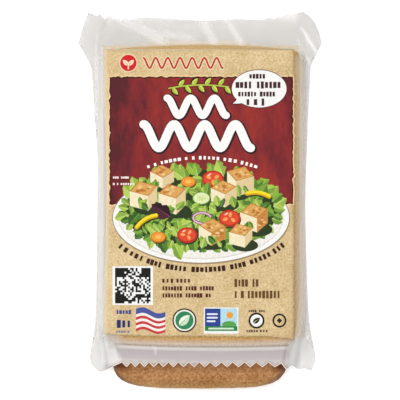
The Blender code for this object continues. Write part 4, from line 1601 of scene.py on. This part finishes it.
def letter_block_tree():
    """Upright blocks along paths, of uneven width and height."""
    inputs = [("Pitch", "Float"), ("Height", "Float"), ("Depth", "Float"), ("Seed", "Int")]
    tree, given = new_tree("letter_blocks", [*inputs, ("Ink", "Material")])
    path = add_node(tree, "GeometryNodeMeshToCurve", [("Mesh", given["Geometry"])])
    spots = add_node(
        tree,
        "GeometryNodeCurveToPoints",
        [("Curve", path.outputs["Curve"]), ("Length", given["Pitch"])],
        mode="LENGTH",
    )
    along = add_node(
        tree,
        "FunctionNodeAlignRotationToVector",
        [("Vector", spots.outputs["Tangent"])],
        axis="X",
        pivot_axis="Z",
    )
    block = add_node(tree, "GeometryNodeMeshCube")
    full = add_node(
        tree,
        "ShaderNodeCombineXYZ",
        [("X", given["Pitch"]), ("Y", given["Height"]), ("Z", given["Depth"])],
    )
    share = add_node(
        tree,
        "FunctionNodeRandomValue",
        [("Min", LETTER_SIZES[0]), ("Max", LETTER_SIZES[1]), ("Seed", given["Seed"])],
        data_type="FLOAT_VECTOR",
    )
    size = add_node(
        tree,
        "ShaderNodeVectorMath",
        [(0, full.outputs[0]), (1, share.outputs[0])],
        operation="MULTIPLY",
    )
    blocks = add_node(
        tree,
        "GeometryNodeInstanceOnPoints",
        [
            ("Points", spots.outputs["Points"]),
            ("Instance", block.outputs["Mesh"]),
            ("Rotation", along.outputs[0]),
            ("Scale", size.outputs[0]),
        ],
    )
    return end_tree(tree, blocks.outputs["Instances"], given["Ink"])


def words(path, pitch, draw):
    """Cuts an evenly divided path into words, with a space of one letter between them."""
    length = sum(math.dist(a, b) for a, b in zip(path, path[1:]))
    letters = round(length / pitch)
    parts = []
    at = 0
    while at < letters - 1:
        end = min(at + draw.randint(*WORD_LETTERS), letters)
        if letters - end < WORD_LETTERS[0]:
            end = letters
        span = [at + 0.5, *range(at + 1, end), end - WORD_END]
        parts.append([point_along(path, i / letters) for i in span])
        at = end + 1
    return parts


def point_along(path, share):
    place = share * (len(path) - 1)
    step = min(int(place), len(path) - 2)
    (x0, y0), (x1, y1) = path[step], path[step + 1]
    return blend(x0, x1, place - step), blend(y0, y1, place - step)


def print_blocks(name, ink_colour, pitch, height, paths, seed):
    points, edges = [], []
    draw = random.Random(seed)
    for path in paths:
        for word in words(path, pitch, draw):
            first = len(points)
            points += [(x, y, 0.0) for x, y in word]
            edges += [(first + i, first + i + 1) for i in range(len(word) - 1)]
    values = {
        "Pitch": pitch,
        "Height": height,
        "Depth": SKIN / MM,
        "Seed": seed,
        "Ink": ink(name + "_ink", ink_colour),
    }
    blocks = grown_mesh(name, points, edges, [], block_tree, values)
    on_paper(blocks.data, BLOCK_LIFT)
    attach(blocks, "root")


def arc(x, y, half_x, half_y, start, end, count=40):
    angles = [start + (end - start) * i / count for i in range(count + 1)]
    return [(x + half_x * math.cos(a), y + half_y * math.sin(a)) for a in angles]


block_tree = letter_block_tree()
for seed, (name, colour, pitch, height, lines) in enumerate(SMALL_PRINT):
    print_blocks(name, colour, pitch, height, [[(x0, y), (x1, y)] for x0, x1, y in lines], seed)
arc_path = arc(ARC_X, ARC_Y, ARC_RADIUS, ARC_RADIUS, ARC_FROM, ARC_TO)
print_blocks(*ARC_LINE, [arc_path], ARC_SEED)
rim_path = arc(PLATE_X, PLATE_Y, RIM_TEXT_HALF_X, RIM_TEXT_HALF_Y, RIM_FROM, RIM_TO)
print_blocks(*RIM_LINE, [rim_path], RIM_SEED)


# ---- The square of modules -------------------------------------------------------------------
# A white square with a random pattern of small black modules and three plain corner blocks. It
# holds no code. The modules are a Geometry Nodes grid with a seeded choice of places.
CODE_X, CODE_Y = -30.2, -38.5
CODE_WHITE_X, CODE_WHITE_Y = 9.1, 8.7  # half sizes
CODE_MODULES, CODE_PITCH = 19, 0.84
MODULE_SHARE, MODULE_OVERLAP, MODULE_SEED = 0.58, 1.02, 3
CORNER_BLOCK, CORNER_CLEAR, CORNER_LIFT = 4.2, 5.04, 0.03 * MM
CODE_WHITE, CODE_BLACK = "#f6f6f4", "#15130f"


def module_tree():
    """Square modules on a grid of places, each printed or not by a seeded draw."""
    tree, given = new_tree(
        "modules", [("Size", "Float"), ("Depth", "Float"), ("Seed", "Int"), ("Ink", "Material")]
    )
    printed = add_node(
        tree,
        "FunctionNodeRandomValue",
        [("Probability", MODULE_SHARE), ("Seed", given["Seed"])],
        data_type="BOOLEAN",
    )
    size = add_node(
        tree,
        "ShaderNodeCombineXYZ",
        [("X", given["Size"]), ("Y", given["Size"]), ("Z", given["Depth"])],
    )
    module = add_node(tree, "GeometryNodeMeshCube", [("Size", size.outputs[0])])
    modules = add_node(
        tree,
        "GeometryNodeInstanceOnPoints",
        [
            ("Points", given["Geometry"]),
            ("Selection", printed.outputs[3]),
            ("Instance", module.outputs["Mesh"]),
        ],
    )
    return end_tree(tree, modules.outputs["Instances"], given["Ink"])


def box_outline(x, y, half_x, half_y):
    corners = ((-1, -1), (1, -1), (1, 1), (-1, 1))
    return [(x + half_x * across, y + half_y * up) for across, up in corners]


def make_code_square():
    ground = [(box_outline(CODE_X, CODE_Y, CODE_WHITE_X, CODE_WHITE_Y), CODE_WHITE)]
    printed_skin("code_ground", ground, four_colour, SMALL_LIFT, PRINT_GRID)
    middle = (CODE_MODULES - 1) / 2
    places = [
        (CODE_X + CODE_PITCH * (i - middle), CODE_Y + CODE_PITCH * (j - middle), 0.0)
        for j in range(CODE_MODULES)
        for i in range(CODE_MODULES)
    ]
    values = {
        "Size": CODE_PITCH * MODULE_OVERLAP,
        "Depth": SKIN / MM,
        "Seed": MODULE_SEED,
        "Ink": ink("black_ink", CODE_BLACK),
    }
    modules = grown_mesh("code_modules", places, [], [], module_tree(), values)
    on_paper(modules.data, BLOCK_LIFT)
    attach(modules, "root")
    corners = []
    reach = CODE_PITCH * CODE_MODULES / 2
    for side_x, side_y in ((-1, 1), (1, 1), (-1, -1)):
        for half, colour in ((CORNER_CLEAR / 2, CODE_WHITE), (CORNER_BLOCK / 2, CODE_BLACK)):
            x, y = CODE_X + side_x * (reach - half), CODE_Y + side_y * (reach - half)
            corners.append((box_outline(x, y, half, half), colour))
    printed_skin("code_corners", corners, four_colour, SMALL_LIFT + CORNER_LIFT)


make_code_square()


# ---- The banner and the badges ---------------------------------------------------------------
# A row of plain marks along the label's near edge: a waving striped banner, a round badge with a
# leaf, a small landscape of colour fields, and two rings.
BANNER_LEFT, BANNER_RIGHT, BANNER_TOP, BANNER_DROP = -28.8, -15.6, -48.9, 10.2
BANNER_STEPS, BANNER_SWING, BANNER_SAG, BANNER_TAPER = 14, 1.0, 1.4, 0.12
BANNER_STRIPES = ["#4b559c"] * 2 + ["#f3ece6", "#c73b41"] * 3
# round marks: their middle, half size, and rings as how much wider each is, with its colour
BADGE = (-7.0, -54.1, 5.4, [(0.0, "#37230f"), (-0.65, "#f2f4ea"), (-1.3, "#2f8558")])
FIRST_RING = (25.4, -54.2, 3.6, [(0.0, "#231c14"), (-0.85, "#f4f2ec")])
SECOND_RING = (35.7, -54.2, 3.15, [(0.0, "#231c14"), (-0.8, None)])
BADGE_LEAF, RING_LEAF = ("#eef3e2", "#cfe3c4", "#2f8558"), ("#2e261c", "#2e261c", "#f4f2ec")
RING_DIAMOND, DIAMOND_DARK = 1.25, "#2e261c"
VIEW_X, VIEW_Y = 9.5, -54.2
VIEW_SUN, VIEW_HILL = (3.9, 2.4, 1.5, 1.5, "#ee9f36"), (3.6, -1.9, 3.2, 1.7, "#57a24c")
VIEW_FIELDS = [  # place from the middle of the landscape, half sizes, colour
    (0.0, 0.0, 7.8, 5.9, "#eef3ee"),
    (0.0, 1.0, 7.3, 4.4, "#b5dbe6"),
    (-3.8, 1.0, 3.5, 4.4, "#2c448f"),
]
VIEW_GROUND = (0.0, -3.6, 7.3, 1.05, "#2a7f3e")
VIEW_LINES = [  # left end, right end, height, colour
    (-6.1, -1.9, 2.9, "#dfe6f3"),
    (-6.1, -1.9, 1.3, "#dfe6f3"),
    (-6.1, -2.9, -0.3, "#dfe6f3"),
    (-5.4, 5.4, -3.6, "#cfe8cd"),
]


def banner_edge(share):
    """A wavy line along the banner, at a share of its height from the top."""
    line = []
    for i in range(BANNER_STEPS + 1):
        t = i / BANNER_STEPS
        swing = BANNER_SWING * math.sin(math.tau * t) - BANNER_SAG * t
        drop = BANNER_DROP * share * (1 - BANNER_TAPER * t)
        line.append((blend(BANNER_LEFT, BANNER_RIGHT, t), BANNER_TOP + swing - drop))
    return line


def banner_shapes():
    """Wavy stripes: a broad blue one at the top, then red and white ones."""
    edges = [banner_edge(i / len(BANNER_STRIPES)) for i in range(len(BANNER_STRIPES) + 1)]
    return [
        (lower + upper[::-1], colour)
        for upper, lower, colour in zip(edges, edges[1:], BANNER_STRIPES)
    ]


def landscape_shapes():
    def placed_form(form, across, up, half_x, half_y, colour):
        return form(VIEW_X + across, VIEW_Y + up, half_x, half_y), colour

    shapes = [placed_form(box_outline, *field) for field in VIEW_FIELDS]
    shapes += [placed_form(oval, *VIEW_SUN), placed_form(oval, *VIEW_HILL)]
    shapes.append(placed_form(box_outline, *VIEW_GROUND))
    for left, right, up, colour in VIEW_LINES:
        line = [(VIEW_X + left, VIEW_Y + up), (VIEW_X + right, VIEW_Y + up)]
        shapes += stroke(line, 0.8, colour)
    return shapes


def badge_shapes():
    x, y, half, steps = BADGE
    shapes = rings(x, y, half, steps, count=40)
    shapes += leaf(x - 2.3, y - 2.3, 6.6, 3.6, 0.79, BADGE_LEAF)
    shapes += landscape_shapes()
    x, y, half, steps = FIRST_RING
    shapes += rings(x, y, half, steps, count=36)
    shapes += leaf(x - 1.6, y - 1.2, 4.0, 2.2, 0.65, RING_LEAF)
    x, y, half, steps = SECOND_RING
    shapes += rings(x, y, half, steps, count=36)
    shapes.append((oval(x, y, RING_DIAMOND, RING_DIAMOND, count=4), DIAMOND_DARK))
    return shapes


printed_skin("banner", banner_shapes(), four_colour, SMALL_LIFT)
printed_skin("badges", badge_shapes(), four_colour, SMALL_LIFT)
